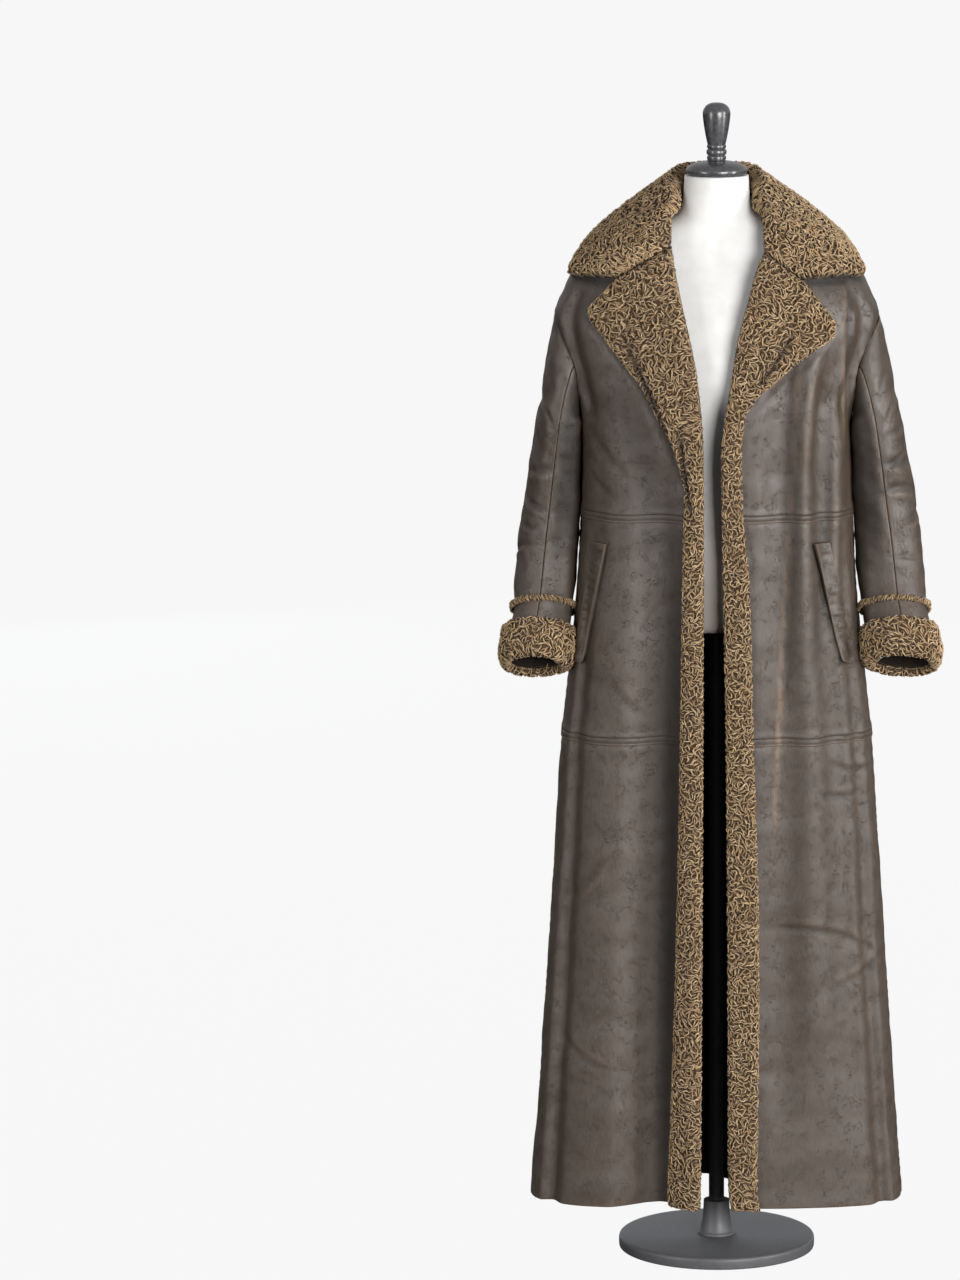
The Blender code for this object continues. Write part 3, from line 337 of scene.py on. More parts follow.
# Creases on the body, by height and distance from the middle of the body, seen from the front or from
# behind: one row for each, from one end to the other, bent to one side, with its width and depth. A
# negative depth is a ridge, and worn is how pale its ridge has rubbed. Each trough gets painted shade
# by its depth, and a worn below 0 is painted shade that dark.
Crease = namedtuple("Crease", "x z to_x to_z bend width depth worn")
CREASES = {
    "front": tabled(Crease, [
        (-0.073, 1.300, -0.088, -0.060, 0.004, 0.0230, 0.0085, 0.0),
        # Rows with worn below 0 paint shade on the wearer's right chest beside the lapel, under the collar's edge and
        # beside the left shoulder seam.
        (-0.150, 1.385, -0.080, 1.080, -0.006, 0.0230, 0.0036, -1.1),
        (-0.140, 1.380, -0.080, 1.030, 0.000, 0.0400, 0.0008, -1.2),
        (-0.140, 1.508, -0.236, 1.509, 0.000, 0.0072, 0.0016, -2.2),
        (0.105, 1.507, 0.238, 1.508, 0.000, 0.0080, 0.0020, -2.6),
        (-0.198, 1.462, -0.112, 1.346, 0.000, 0.0060, 0.0022, 0.0),
        (-0.116, 1.352, -0.050, 1.200, 0.002, 0.0060, 0.0022, 0.0),
        (0.182, 1.444, 0.044, 1.300, 0.004, 0.0055, 0.0020, 0.0),
        (0.1915, 1.506, 0.190, 1.250, 0.000, 0.0036, -0.0016, 0.55),
        (0.1985, 1.510, 0.197, 1.300, 0.000, 0.0044, 0.0024, -1.5),
        (0.118, 1.300, 0.086, 0.640, -0.003, 0.0032, -0.0018, 0.9),
        (0.124, 1.390, 0.117, 1.290, -0.001, 0.0034, -0.0014, 0.5),
        (0.150, 1.400, 0.133, 1.220, -0.002, 0.0070, -0.0024, 0.2),
        (0.110, 1.390, 0.100, 0.850, 0.004, 0.0130, 0.0040, 0.0),
        (0.165, 1.330, 0.150, 0.900, 0.006, 0.0110, 0.0030, 0.0),
        (0.186, 1.330, 0.176, 1.020, -0.004, 0.0100, -0.0030, 0.1),
        (0.168, 0.780, 0.245, 0.770, -0.012, 0.0040, 0.0024, 0.1),
        (0.150, 0.735, 0.220, 0.730, -0.010, 0.0050, 0.0024, 0.1),
        (0.075, 0.520, 0.250, 0.470, 0.022, 0.0045, 0.0028, 0.15),
        (0.180, 0.430, 0.255, 0.480, -0.010, 0.0060, 0.0018, 0.2),
        (-0.115, 0.975, -0.060, 1.040, 0.004, 0.0040, 0.0020, 0.1),
        (-0.165, 0.915, -0.100, 0.845, -0.008, 0.0050, 0.0020, 0.1),
        (-0.195, 1.290, -0.120, 1.200, -0.006, 0.0080, 0.0016, 0.2),
        (-0.200, 1.230, -0.150, 1.180, -0.004, 0.0050, 0.0012, 0.2),
        (-0.170, 0.640, -0.235, 0.560, 0.010, 0.0060, 0.0018, 0.2),
        (-0.235, 0.350, -0.160, 0.300, -0.010, 0.0060, 0.0016, 0.2),
    ]),
    "back": tabled(Crease, [
        (-0.030, 1.330, -0.095, 1.290, 0.006, 0.0043, 0.0024, 0.10),
        (-0.040, 1.190, -0.110, 1.150, 0.006, 0.0043, 0.0021, 0.10),
        (-0.020, 1.050, -0.160, 0.930, 0.014, 0.0043, 0.0034, 0.13),
        (-0.060, 0.960, -0.150, 0.975, -0.010, 0.0043, 0.0021, 0.10),
        (-0.120, 1.040, -0.190, 0.880, 0.012, 0.0051, 0.0026, 0.10),
        (-0.020, 0.530, -0.190, 0.505, -0.008, 0.0038, 0.0034, 0.13),
        (-0.015, 0.372, -0.180, 0.360, -0.006, 0.0043, 0.0026, 0.11),
        (-0.210, 0.330, -0.265, 0.250, 0.010, 0.0043, 0.0024, 0.10),
        (0.105, 1.080, 0.170, 0.975, -0.010, 0.0043, 0.0026, 0.11),
        (0.020, 1.010, 0.120, 0.890, 0.012, 0.0051, 0.0029, 0.11),
        (0.060, 1.300, 0.130, 1.230, -0.008, 0.0051, 0.0024, 0.10),
        (-0.050, 0.885, -0.110, 0.868, -0.006, 0.0034, 0.0022, 0.10),
        (0.050, 0.840, 0.165, 0.700, -0.030, 0.0043, 0.0022, 0.09),
        (0.140, 1.180, 0.175, 1.070, 0.008, 0.0043, 0.0022, 0.09),
        (-0.030, 0.700, -0.090, 0.690, 0.004, 0.0034, 0.0017, 0.09),
        (0.080, 0.640, 0.180, 0.560, 0.010, 0.0043, 0.0026, 0.11),
        (0.090, 0.330, 0.190, 0.260, -0.012, 0.0043, 0.0026, 0.11),
        (0.015, 1.440, 0.020, 1.180, 0.002, 0.0100, 0.0028, 0.06),
        (0.090, 1.430, 0.080, 1.240, 0.002, 0.0120, -0.0031, 0.06),
        (-0.100, 1.430, -0.085, 1.200, 0.002, 0.0120, -0.0031, 0.06),
    ]),
}

# Creases on the sleeves, by turn (0 outer side, 0.25 back, -0.25 front) and share of the length.
SleeveCrease = namedtuple("SleeveCrease", "turn along to_turn to_along bend width depth worn")
SLEEVE_CREASES = {
    LEFT: tabled(SleeveCrease, [
        (-0.30, 0.33, -0.02, 0.42, 0.008, 0.0070, 0.0034, 0.3),
        (-0.34, 0.45, -0.05, 0.50, -0.008, 0.0060, 0.0030, 0.4),
        (-0.22, 0.58, 0.02, 0.54, 0.006, 0.0060, 0.0026, 0.3),
        (-0.30, 0.68, -0.10, 0.72, 0.004, 0.0050, 0.0020, 0.3),
        (-0.20, 0.16, 0.10, 0.24, 0.010, 0.0090, 0.0016, 0.2),
        (0.08, 0.40, 0.34, 0.50, 0.010, 0.0070, 0.0030, 0.4),
        (0.10, 0.58, 0.36, 0.52, -0.008, 0.0060, 0.0028, 0.4),
        (0.05, 0.70, 0.30, 0.78, 0.006, 0.0060, 0.0022, 0.3),
        (-0.23, 0.205, -0.05, 0.170, -0.008, 0.0040, 0.0016, 0.2),
        (-0.21, 0.265, -0.07, 0.235, -0.006, 0.0038, 0.0016, 0.2),
        (-0.19, 0.290, -0.05, 0.315, 0.005, 0.0042, 0.0018, 0.2),
        (-0.23, 0.385, -0.06, 0.372, 0.004, 0.0040, 0.0020, 0.2),
    ]),
    RIGHT: tabled(SleeveCrease, [
        (-0.22, 0.270, -0.06, 0.240, -0.006, 0.0040, 0.0015, 0.2),
        (-0.20, 0.600, -0.04, 0.585, 0.005, 0.0040, 0.0015, 0.2),
        (-0.28, 0.36, -0.04, 0.44, 0.006, 0.0060, 0.0022, 0.3),
        (-0.30, 0.52, -0.02, 0.50, 0.008, 0.0060, 0.0024, 0.3),
        (-0.20, 0.66, 0.04, 0.70, -0.006, 0.0060, 0.0020, 0.3),
        (-0.18, 0.18, 0.08, 0.25, 0.010, 0.0090, 0.0016, 0.2),
        (0.06, 0.42, 0.34, 0.50, -0.010, 0.0070, 0.0030, 0.4),
        (0.10, 0.60, 0.34, 0.55, 0.008, 0.0060, 0.0026, 0.4),
        (0.08, 0.74, 0.30, 0.69, 0.006, 0.0060, 0.0022, 0.3),
    ]),
}
SLEEVE_AROUND, SLEEVE_LENGTH = 0.36, 0.55
# The darkest painted shade, and a factor on the depth of the sleeve creases
DARKEST_PAINTED_SHADE, SLEEVE_DEPTH = 2.2, 1.2
RIPPLE_WAVES = 7

# Two rows of stitches hold each lapped seam: their dents, measured up from the lap's edge, and the
# rows themselves, measured from the seam. Stitches are this thick.
UPPER_DENT, LOWER_DENT = 0.0115, 0.0035
SEAM_STITCHES = (0.0055, -0.0025)
WELT_DENT, WELT_STITCHES = 0.0034, (0.14, 0.86)
THREAD_RADIUS = 0.00038

# The shade under a sleeve: how deep, and the turns and share of the length where it fades
UNDER_SHADE = 1.7
SHADE_FROM, SHADE_TO, SHADE_END = 0.42, 0.745, 0.80

# Widths of the collar and the trims, and the level of the cover's neck seam
COLLAR_WIDTH = 0.155
YOKE_TRIM_WIDTH = 0.0125
COVER_SEAM = 1.5805

# Turned pieces, as radius and height: the socket and the cap down from their tops and up from their
# feet, the finial up from its foot. A point given twice stays sharp.
SOCKET_TOP = (
    (0, 0), (0, 0), (0.0186, 0), (0.0197, -0.0004), (0.0199, -0.0012), (0.0203, -0.014), (0.0213, -0.027),
    (0.0234, -0.040), (0.0262, -0.049),
)
SOCKET_FOOT = ((0.0284, 0.0030), (0.0287, 0.0016), (0.0287, 0), (0.0287, 0), (0, 0), (0, 0))
CAP_TOP = (
    (0, 0), (0, 0), (0.016, -0.0002), (0.028, -0.0020), (0.038, -0.0052), (0.0425, -0.0085), (0.0462, -0.0118),
)
CAP_FOOT = ((0.0465, 0.0050), (0.0452, 0.0016), (0.0430, 0), (0.0430, 0), (0, 0), (0, 0))
FINIAL = (
    (0, 0.0868), (0, 0.0868), (0.0065, 0.0866), (0.0125, 0.0848), (0.0175, 0.0808), (0.0203, 0.0755),
    (0.0210, 0.0700), (0.0203, 0.0620), (0.0184, 0.0480), (0.0158, 0.0340), (0.0135, 0.0242), (0.0135, 0.0240),
    (0.0143, 0.0228), (0.0143, 0.0190), (0.0126, 0.0176), (0.0126, 0.0172), (0.0149, 0.0160), (0.0153, 0.0128),
    (0.0148, 0.0094), (0.0127, 0.0082), (0.0127, 0.0078), (0.0143, 0.0064), (0.0144, 0.0030), (0.0135, 0.0),
    (0.0135, 0.0), (0, 0), (0, 0),
)

# Lamps, with their power as a share of the key light's. One that doesn't shine is cool and makes no
# reflections.
Lamp = namedtuple("Lamp", "name x y z power width height shines")
LAMPS = tabled(Lamp, [
    ("key_light", 2.7, -5.3, 1.7, 1, 2.7, 2.9, True),
    ("fill_light", -4.2, -4.0, 1.5, 0.30, 1.6, 2.6, True),
    ("back_key", -2.0, 5.6, 1.6, 1.9, 2.2, 2.8, False),
    ("back_fill", 2.8, 5.0, 1.6, 0.6, 1.6, 2.6, False),
    ("side_light", 4.4, -1.8, 1.6, 0.34, 0.9, 2.6, True),
])
LAMP_AIM = (0, 0, 1.1)
WHITE_LAMP, COOL_LAMP = (1, 1, 1), (0.88, 0.95, 1)

# The photo's camera: millimetres, metres and degrees
SENSOR, LENS = 36.0, 170.4
CAMERA_PLACE = (0, -9.1, 2.508)
CAMERA_DOWN, CAMERA_YAW, CAMERA_ROLL = 9.715, 2.268, -0.38
FLOOR_SIZE, FLOOR_DROP = 120, 0.0002


def clamp(values):
    """Values held between 0 and 1."""
    return np.clip(values, 0.0, 1.0)


def ease(share):
    """0 to 1 with a gentle start and end: 3s^2 - 2s^3."""
    share = clamp(share)
    return share * share * (3 - 2 * share)


def mix(first, last, share):
    """The value a share of the way from first to last."""
    return first + (last - first) * share


def bell(distance, width):
    """1 in the middle, falling off over this width: exp(-(distance / width)^2)."""
    return np.exp(-((distance / width) ** 2))


def read(table, column, at):
    """A column of a table at keys, on cubic curves whose tangents are the harmonic mean of the slopes
    on both sides, so that they never overshoot."""
    keys = np.array([row[0] for row in table], float)
    values = np.array([getattr(row, column) for row in table], float)
    at = np.clip(at, keys[0], keys[-1])
    index = np.clip(np.searchsorted(keys, at, side="right") - 1, 0, len(keys) - 2)
    rise = np.diff(values) / np.diff(keys)
    before, after = rise[:-1], rise[1:]
    same = before * after > 0
    inside = np.where(same, 2 * before * after / np.where(same, before + after, 1), 0)
    slopes = np.concatenate([rise[:1], inside, rise[-1:]])
    span = keys[index + 1] - keys[index]
    t = (at - keys[index]) / span
    return (
        values[index] * (1 + 2 * t) * (1 - t) ** 2
        + slopes[index] * span * t * (1 - t) ** 2
        + values[index + 1] * t * t * (3 - 2 * t)
        + slopes[index + 1] * span * t * t * (t - 1)
    )


def read_straight(table, column, at):
    """A column of a table at keys, on straight lines between its rows."""
    return np.interp(at, [row[0] for row in table], [getattr(row, column) for row in table])


def rounded_box(angle, corner):
    """Sine and cosine pushed out towards the corners of a square: 2 keeps the circle."""
    sine, cosine = np.sin(angle), np.cos(angle)
    reach = (np.abs(sine) ** corner + np.abs(cosine) ** corner) ** (-1 / corner)
    return sine * reach, cosine * reach


def stacked(x, y, z):
    """Three arrays as points."""
    return np.stack(np.broadcast_arrays(x, y, z), axis=-1).astype(float)


def unit(vectors):
    """Vectors at length 1."""
    return vectors / np.maximum(np.linalg.norm(vectors, axis=-1, keepdims=True), 1e-12)


def wrapped(around):
    """The same place round the coat, between -1 and 1."""
    return (around + 1) % 2 - 1


def fold_push(around, height):
    """How far the soft folds push the cloth out: a squared cosine across each fold."""
    push = 0.0
    for fold in FOLDS:
        share = clamp((height - HEM) / max(fold.top - HEM, SEAM_GAP))
        middle = mix(fold.hem_around, fold.top_around, share)
        across = np.minimum(np.abs(wrapped(around - middle)) / fold.spread, 1)
        shown = ease((height - fold.bottom) / fold.fade + 1) * ease((fold.top - height) / fold.fade + 1)
        push = push + mix(fold.hem_push, fold.top_push, share) * np.cos(np.pi / 2 * across) ** 2 * shown
    return push


def section_point(table, around, height, grow=0.0):
    """Points of a table's superellipse outline at heights, moved out level by grow."""
    width = read(table, "half_width", height)
    sine, cosine = rounded_box(np.pi * around, read(table, "corner", height))
    depth = np.where(cosine > 0, read(table, "front", height), read(table, "back", height))
    out = unit(stacked(sine / width, -cosine / depth, np.zeros_like(width)))
    return stacked(width * sine, -depth * cosine, height) + out * np.asarray(grow)[..., None]


def seam_rise(around, level):
    """The waist seam climbs towards the back, the yoke seam arches and the front neck dips."""
    turn = np.abs(wrapped(around))
    back = ease((turn - SIDE_SEAM) / SIDE_SEAM)
    waist = WAIST_BACK_RISE * back * bell(level - WAIST_SEAM, 0.11)
    yoke = YOKE_ARCH * back * bell(level - YOKE_SEAM, 0.05)
    front = ease((NECK_DIP_FROM - turn) / NECK_DIP_OVER)
    neck = FRONT_NECK_DIP * front * bell(level - NECK_SEAM, 0.022)
    return waist + yoke - neck


def coat_point(around, level):
    """The coat's outer face: the section outline pushed by the folds."""
    around, level = np.broadcast_arrays(np.asarray(around, float), np.asarray(level, float))
    height = level + seam_rise(around, level)
    return section_point(COAT, around, height, fold_push(around, height))


def coat_normal(around, level):
    """The coat's outward direction, across a small patch of its face."""
    step = NORMAL_STEP
    across = coat_point(around + step, level) - coat_point(around - step, level)
    up = coat_point(around, level + step) - coat_point(around, level - step)
    return unit(np.cross(across, up))


def around_at(side, distance, level):
    """Where round the front the coat's face lies this far from the middle of the body, by halving."""
    distance, level = np.broadcast_arrays(np.asarray(distance, float), np.asarray(level, float))
    near, far = np.zeros(distance.shape), np.full(distance.shape, SIDE_SEAM)
    for _ in range(22):
        middle = (near + far) / 2
        inside = np.abs(coat_point(side * middle, level)[..., 0]) < distance
        near, far = np.where(inside, middle, near), np.where(inside, far, middle)
    return side * near


def front_edge(side, level):
    """Where round the coat its front edge runs."""
    distance = read(FRONT_EDGE, WORDS[side], level)
    return around_at(side, distance + EDGE_OVERHANG, level)


def centre_back(side, level):
    """Where round the coat its centre back seam runs, seen from one side."""
    share = clamp((level - HEM) / (YOKE_SEAM - HEM))
    shift = mix(CENTRE_SEAM_HEM_SHIFT, CENTRE_SEAM_TOP_SHIFT, share)
    return side * (1 - side * shift / (np.pi * read(COAT, "half_width", level)))


def side_edge(side, back, level):
    """The side boundary of a front or back panel: the side seam, and an ellipse round the armhole."""
    middle, half = (ARMPIT + ARM_TOP) / 2, (ARM_TOP - ARMPIT) / 2
    up = np.minimum(1.0, np.abs(level - middle) / half)
    inset = ARMHOLE_SPAN * np.sqrt(1 - up**2)
    return side * (SIDE_SEAM + (inset if back else -inset))


def armhole_place(side, turn, shrink):
    """Around and level on the armhole; turn 0 is its top and a quarter its back."""
    back, up = np.sin(turn * 2 * np.pi), np.cos(turn * 2 * np.pi)
    middle, half = (ARMPIT + ARM_TOP) / 2, (ARM_TOP - ARMPIT) / 2
    return side * (SIDE_SEAM + ARMHOLE_SPAN * back * shrink), middle + half * up * shrink


def sleeve_point(side, turn, along):
    """The sleeve's outer face: a tilted superellipse ring, which turns into the armhole at the top."""
    turn, along = np.broadcast_arrays(np.asarray(turn, float), np.asarray(along, float))
    table = SLEEVE[side]
    zero = np.zeros_like(along)
    inner = stacked(read(table, "inner_x", along), zero, read(table, "inner_z", along))
    outer = stacked(read(table, "outer_x", along), zero, read(table, "outer_z", along))
    tilt = np.radians(read(table, "tilt", along))
    deep = stacked(zero, np.cos(tilt), -np.sin(tilt)) * read(table, "half_depth", along)[..., None]
    back, out = rounded_box(turn * 2 * np.pi, SLEEVE_CORNER)
    middle = (inner + outer) / 2 + stacked(zero, read(table, "middle_y", along), zero)
    ring = middle + (outer - inner) / 2 * out[..., None] + deep * back[..., None]
    ring[..., 0] *= side
    shrink = 1 - SEAM_GAP / (ARM_TOP - ARMPIT)
    seam = coat_point(*armhole_place(side, turn, shrink))
    return nestled(mix(seam, ring, ease(along / SLEEVE_BLEND)[..., None]), side)


def nestled(points, side):
    """The body side of a sleeve moved in until it rests against the coat. The coat's side is at
    w(1 - |y/d|^n)^(1/n), and the gap to it shrinks to a touch where it is narrow."""
    x, y, z = side * points[..., 0], points[..., 1], points[..., 2]
    depth = np.where(y < 0, read(COAT, "front", z), read(COAT, "back", z))
    corner = read(COAT, "corner", z)
    body = read(COAT, "half_width", z) * np.maximum(1 - np.minimum(np.abs(y / depth), 1) ** corner, 0) ** (1 / corner)
    gap = np.maximum(x - body, 0)
    close = gap - REST_GAP - (gap - REST_GAP) * ease(gap / REST_REACH)
    moved = points.copy()
    moved[..., 0] -= side * np.maximum(close, 0) * ease((ARMPIT + 0.004 - z) / 0.016)
    return moved


def sleeve_normal(side, turn, along):
    """The sleeve's outward direction."""
    step = NORMAL_STEP * 2
    across = sleeve_point(side, turn + step, along) - sleeve_point(side, turn - step, along)
    down = sleeve_point(side, turn, along + step) - sleeve_point(side, turn, np.maximum(0, along - step))
    return unit(np.cross(across, down)) * -side


def ripple(points, wavelength, seed):
    """Smooth unevenness between about -1 and 1: a mean of sine waves in seeded directions."""
    draw = np.random.default_rng(seed)
    total = 0.0
    for _ in range(RIPPLE_WAVES):
        way = draw.normal(size=3)
        way *= 2 * np.pi / (wavelength * draw.uniform(0.7, 1.6) * np.linalg.norm(way))
        total = total + np.sin(points @ way + draw.uniform(0, 2 * np.pi))
    return total / math.sqrt(RIPPLE_WAVES)


def crease_relief(x, z, creases):
    """Soft troughs with a ridge beside them. Across a crease the height is -exp(-d^2) + 0.45
    exp(-(d - 1.7)^2), with d the distance from its bent line in widths, and it fades at both ends.
    Returns the relief, how worn it is, and the painted shade in its trough."""
    relief, worn, trough = np.zeros_like(x), np.zeros_like(x), np.zeros_like(x)
    for start, end, bend, width, depth, rubbed in creases:
        chord = np.subtract(end, start)
        length = math.hypot(*chord)
        t = ((x - start[0]) * chord[0] + (z - start[1]) * chord[1]) / length**2
        off = ((z - start[1]) * chord[0] - (x - start[0]) * chord[1]) / length
        d = (off - bend * 4 * t * (1 - t)) / width
        fade = np.sin(np.pi * clamp(t)) ** 0.6
        low, high = np.exp(-(d**2)), 0.45 * np.exp(-((np.abs(d) - 1.7) ** 2)) * (d > -0.8)
        relief += -depth * (low - high) * fade
        ridge = low if depth < 0 else high * 1.6
        worn = np.maximum(worn, rubbed * ridge * fade)
        # Painted shade in the trough: as dark as its depth, or as a negative worn, whichever is darker.
        dark = max(min(DARKEST_PAINTED_SHADE, depth / 0.003), -rubbed)
        trough = np.maximum(trough, dark * low * fade)
    return relief, worn, trough


def body_creases(points, strength):
    """The creases of the body panels at these points of the face."""
    x, y, z = points[..., 0], points[..., 1], points[..., 2]
    total = [np.zeros_like(x) for _ in range(3)]
    for face, way in (("front", -1), ("back", 1)):
        rows = [((c.x, c.z), (c.to_x, c.to_z), c.bend, c.width, c.depth * strength, c.worn)
                for c in CREASES[face]]
        shown = ease(way * y / 0.04)
        for k, part in enumerate(crease_relief(x, z, rows)):
            total[k] = total[k] + part * shown
    total[0] = total[0] + strength * (0.0011 * ripple(points, 0.11, 5) + 0.0004 * ripple(points, 0.035, 6))
    return total


def lowest(values):
    """The lowest value within one coarse step of each place, so that the coarse inner side of a shell
    stays under every trough of its fine outer side."""
    reach, (rows, columns) = INNER_STRIDE, values.shape
    padded = np.pad(values, reach, mode="edge")
    shifts = range(2 * reach + 1)
    return np.min([padded[i : i + rows, j : j + columns] for i in shifts for j in shifts], axis=0)


def edge_roll(distance, radius=EDGE_ROLL):
    """How far a folded edge drops: a quarter circle of this radius."""
    inward = np.clip(radius - distance, 0, radius)
    return radius - np.sqrt(radius**2 - inward**2)


def spread(width, step):
    """Places across a piece as distances: close lines near both edges, then even spacing. width has
    one value for each row."""
    width = np.atleast_1d(width)[:, None]
    rim = np.array(EDGE_LINES)[None, :]
    count = max(4, round(float(width.max()) / step))
    inside = np.linspace(0, 1, count + 1)[None, 1:-1]
    return np.concatenate([rim + 0 * width, mix(rim[0, -1], width - rim[0, -1], inside), width - rim[:, ::-1]], axis=1)


def row_widths(first, last, level):
    """How wide a panel is at each level, along the coat's face."""
    shares = np.linspace(0, 1, 25)[None, :]
    points = coat_point(mix(first[:, None], last[:, None], shares), level[:, None])
    return np.linalg.norm(np.diff(points, axis=1), axis=2).sum(axis=1)


def linear(code):
    """An sRGB hex colour as linear red, green, blue and alpha."""
    parts = [int(code[k : k + 2], 16) / 255 for k in (1, 3, 5)]
    return (*(c / 12.92 if c <= 0.04045 else ((c + 0.055) / 1.055) ** 2.4 for c in parts), 1.0)


def travelled(points):
    """How far along a line each of its points lies."""
    return np.append(0, np.linalg.norm(np.diff(points, axis=0), axis=1)).cumsum()


def from_ends(step):
    """How far each point lies from the nearer end of its line."""
    return np.minimum(step, step[-1] - step)[:, None]


def put_mesh(name, points, quads, triangles, materials, indices=None, **values):
    """An object from point, quad and triangle arrays, with float values on its points."""
    mesh = bpy.data.meshes.new(name)
    points = np.asarray(points, np.float32).reshape(-1, 3)
    quads = np.asarray(quads, np.int32).reshape(-1, 4)
    triangles = np.asarray(triangles, np.int32).reshape(-1, 3)
    corners = np.concatenate([quads.ravel(), triangles.ravel()])
    starts = np.concatenate([np.arange(len(quads)) * 4, len(quads) * 4 + np.arange(len(triangles)) * 3])
    mesh.vertices.add(len(points))
    mesh.vertices.foreach_set("co", points.ravel())
    mesh.loops.add(len(corners))
    mesh.loops.foreach_set("vertex_index", corners.astype(np.int32))
    mesh.polygons.add(len(starts))
    mesh.polygons.foreach_set("loop_start", starts.astype(np.int32))
    if indices is not None:
        mesh.polygons.foreach_set("material_index", np.asarray(indices, np.int32))
    mesh.polygons.foreach_set("use_smooth", np.full(len(starts), True))
    for key, value in values.items():
        made = mesh.attributes.new(key, "FLOAT", "POINT")
        made.data.foreach_set("value", np.asarray(value, np.float32).ravel())
    mesh.update(calc_edges=True)
    for material in materials:
        mesh.materials.append(material)
    piece = bpy.data.objects.new(name, mesh)
    bpy.context.scene.collection.objects.link(piece)
    return piece


def signed_volume(points, quads, triangles):
    """Six times the volume inside faces, negative where they point in."""
    flat = np.asarray(points).reshape(-1, 3)
    faces = np.concatenate([triangles, quads[:, [0, 1, 2]], quads[:, [0, 2, 3]]])
    a, b, c = flat[faces[:, 0]], flat[faces[:, 1]], flat[faces[:, 2]]
    return float((a * np.cross(b, c)).sum())


def grid_quads(rows, columns, start=0, closed_rows=False, closed_columns=False):
    """The quads of a grid of points in row order."""
    ids = start + np.arange(rows * columns).reshape(rows, columns)
    if closed_rows:
        ids = np.vstack([ids, ids[:1]])
    if closed_columns:
        ids = np.hstack([ids, ids[:, :1]])
    return np.stack([ids[:-1, :-1], ids[:-1, 1:], ids[1:, 1:], ids[1:, :-1]], axis=-1).reshape(-1, 4)


def rim_faces(outer, inner, picked, turned):
    """A fan of triangles between a fine edge and the coarse one inside it."""
    k = np.arange(len(outer) - 1)
    block = np.searchsorted(picked, k, side="right") - 1
    fine = np.stack([outer[k + 1], outer[k], inner[block]], axis=1)
    coarse = np.stack([outer[picked[1:]], inner[:-1], inner[1:]], axis=1)
    faces = np.concatenate([fine, coarse])
    return faces[:, ::-1] if turned else faces


def every(count, stride):
    """Every so many indices, the last one included."""
    return np.unique(np.append(np.arange(0, count, stride), count - 1))


def leather_shell(name, outer, inner, materials, **values):
    """A closed shell: a fine outer grid, a coarser inner side and a rim. inner holds a point under
    each outer one, of which only some are used."""
    rows, columns = outer.shape[:2]
    picked_rows, picked_columns = every(rows, INNER_STRIDE), every(columns, INNER_STRIDE)
    few = inner[np.ix_(picked_rows, picked_columns)]
    ids = np.arange(rows * columns).reshape(rows, columns)
    under = rows * columns + np.arange(few.shape[0] * few.shape[1]).reshape(few.shape[:2])
    face, lining = grid_quads(rows, columns), grid_quads(*few.shape[:2], start=rows * columns)[:, ::-1]
    rims = [
        rim_faces(ids[0], under[0], picked_columns, False),
        rim_faces(ids[:, -1], under[:, -1], picked_rows, False),
        rim_faces(ids[-1], under[-1], picked_columns, True),
        rim_faces(ids[:, 0], under[:, 0], picked_rows, True),
    ]
    rims = np.concatenate(rims)
    quads = np.concatenate([face, lining])
    points = np.concatenate([outer.reshape(-1, 3), few.reshape(-1, 3)])
    if signed_volume(points, quads, rims) < 0:
        quads, rims = quads[:, ::-1], rims[:, ::-1]
    indices = np.concatenate([np.zeros(len(face)), np.ones(len(lining)), np.zeros(len(rims))])
    held = {key: np.append(value.ravel(), np.zeros(few.shape[0] * few.shape[1])) for key, value in values.items()}
    return put_mesh(name, points, quads, rims, materials, indices, **held)


def loft(name, loops, materials, ring=False, indices=None, **values):
    """A closed skin through closed loops: its ends are capped by fans, or joined to form a ring."""
    rows, columns = loops.shape[:2]
    quads = grid_quads(rows, columns, closed_rows=ring, closed_columns=True)
    points, fans = loops.reshape(-1, 3), np.zeros((0, 3), int)
    if not ring:
        ends = np.stack([loops[0].mean(axis=0), loops[-1].mean(axis=0)])
        k = np.arange(columns)
        n = (k + 1) % columns
        first, last, tips = k * 0 + len(points), k * 0 + len(points) + 1, (rows - 1) * columns
        fans = np.concatenate([np.stack([n, k, first], 1), np.stack([tips + k, tips + n, last], 1)])
        points = np.concatenate([points, ends])
        values = {key: np.append(value.ravel(), [0, 0]) for key, value in values.items()}
    if signed_volume(points, quads, fans) < 0:
        quads, fans = quads[:, ::-1], fans[:, ::-1]
    if indices is not None:
        per_quad = np.tile(indices, rows if ring else rows - 1)
        indices = np.concatenate([per_quad, np.zeros(len(fans))])
    return put_mesh(name, points, quads, fans, materials, indices, **values)


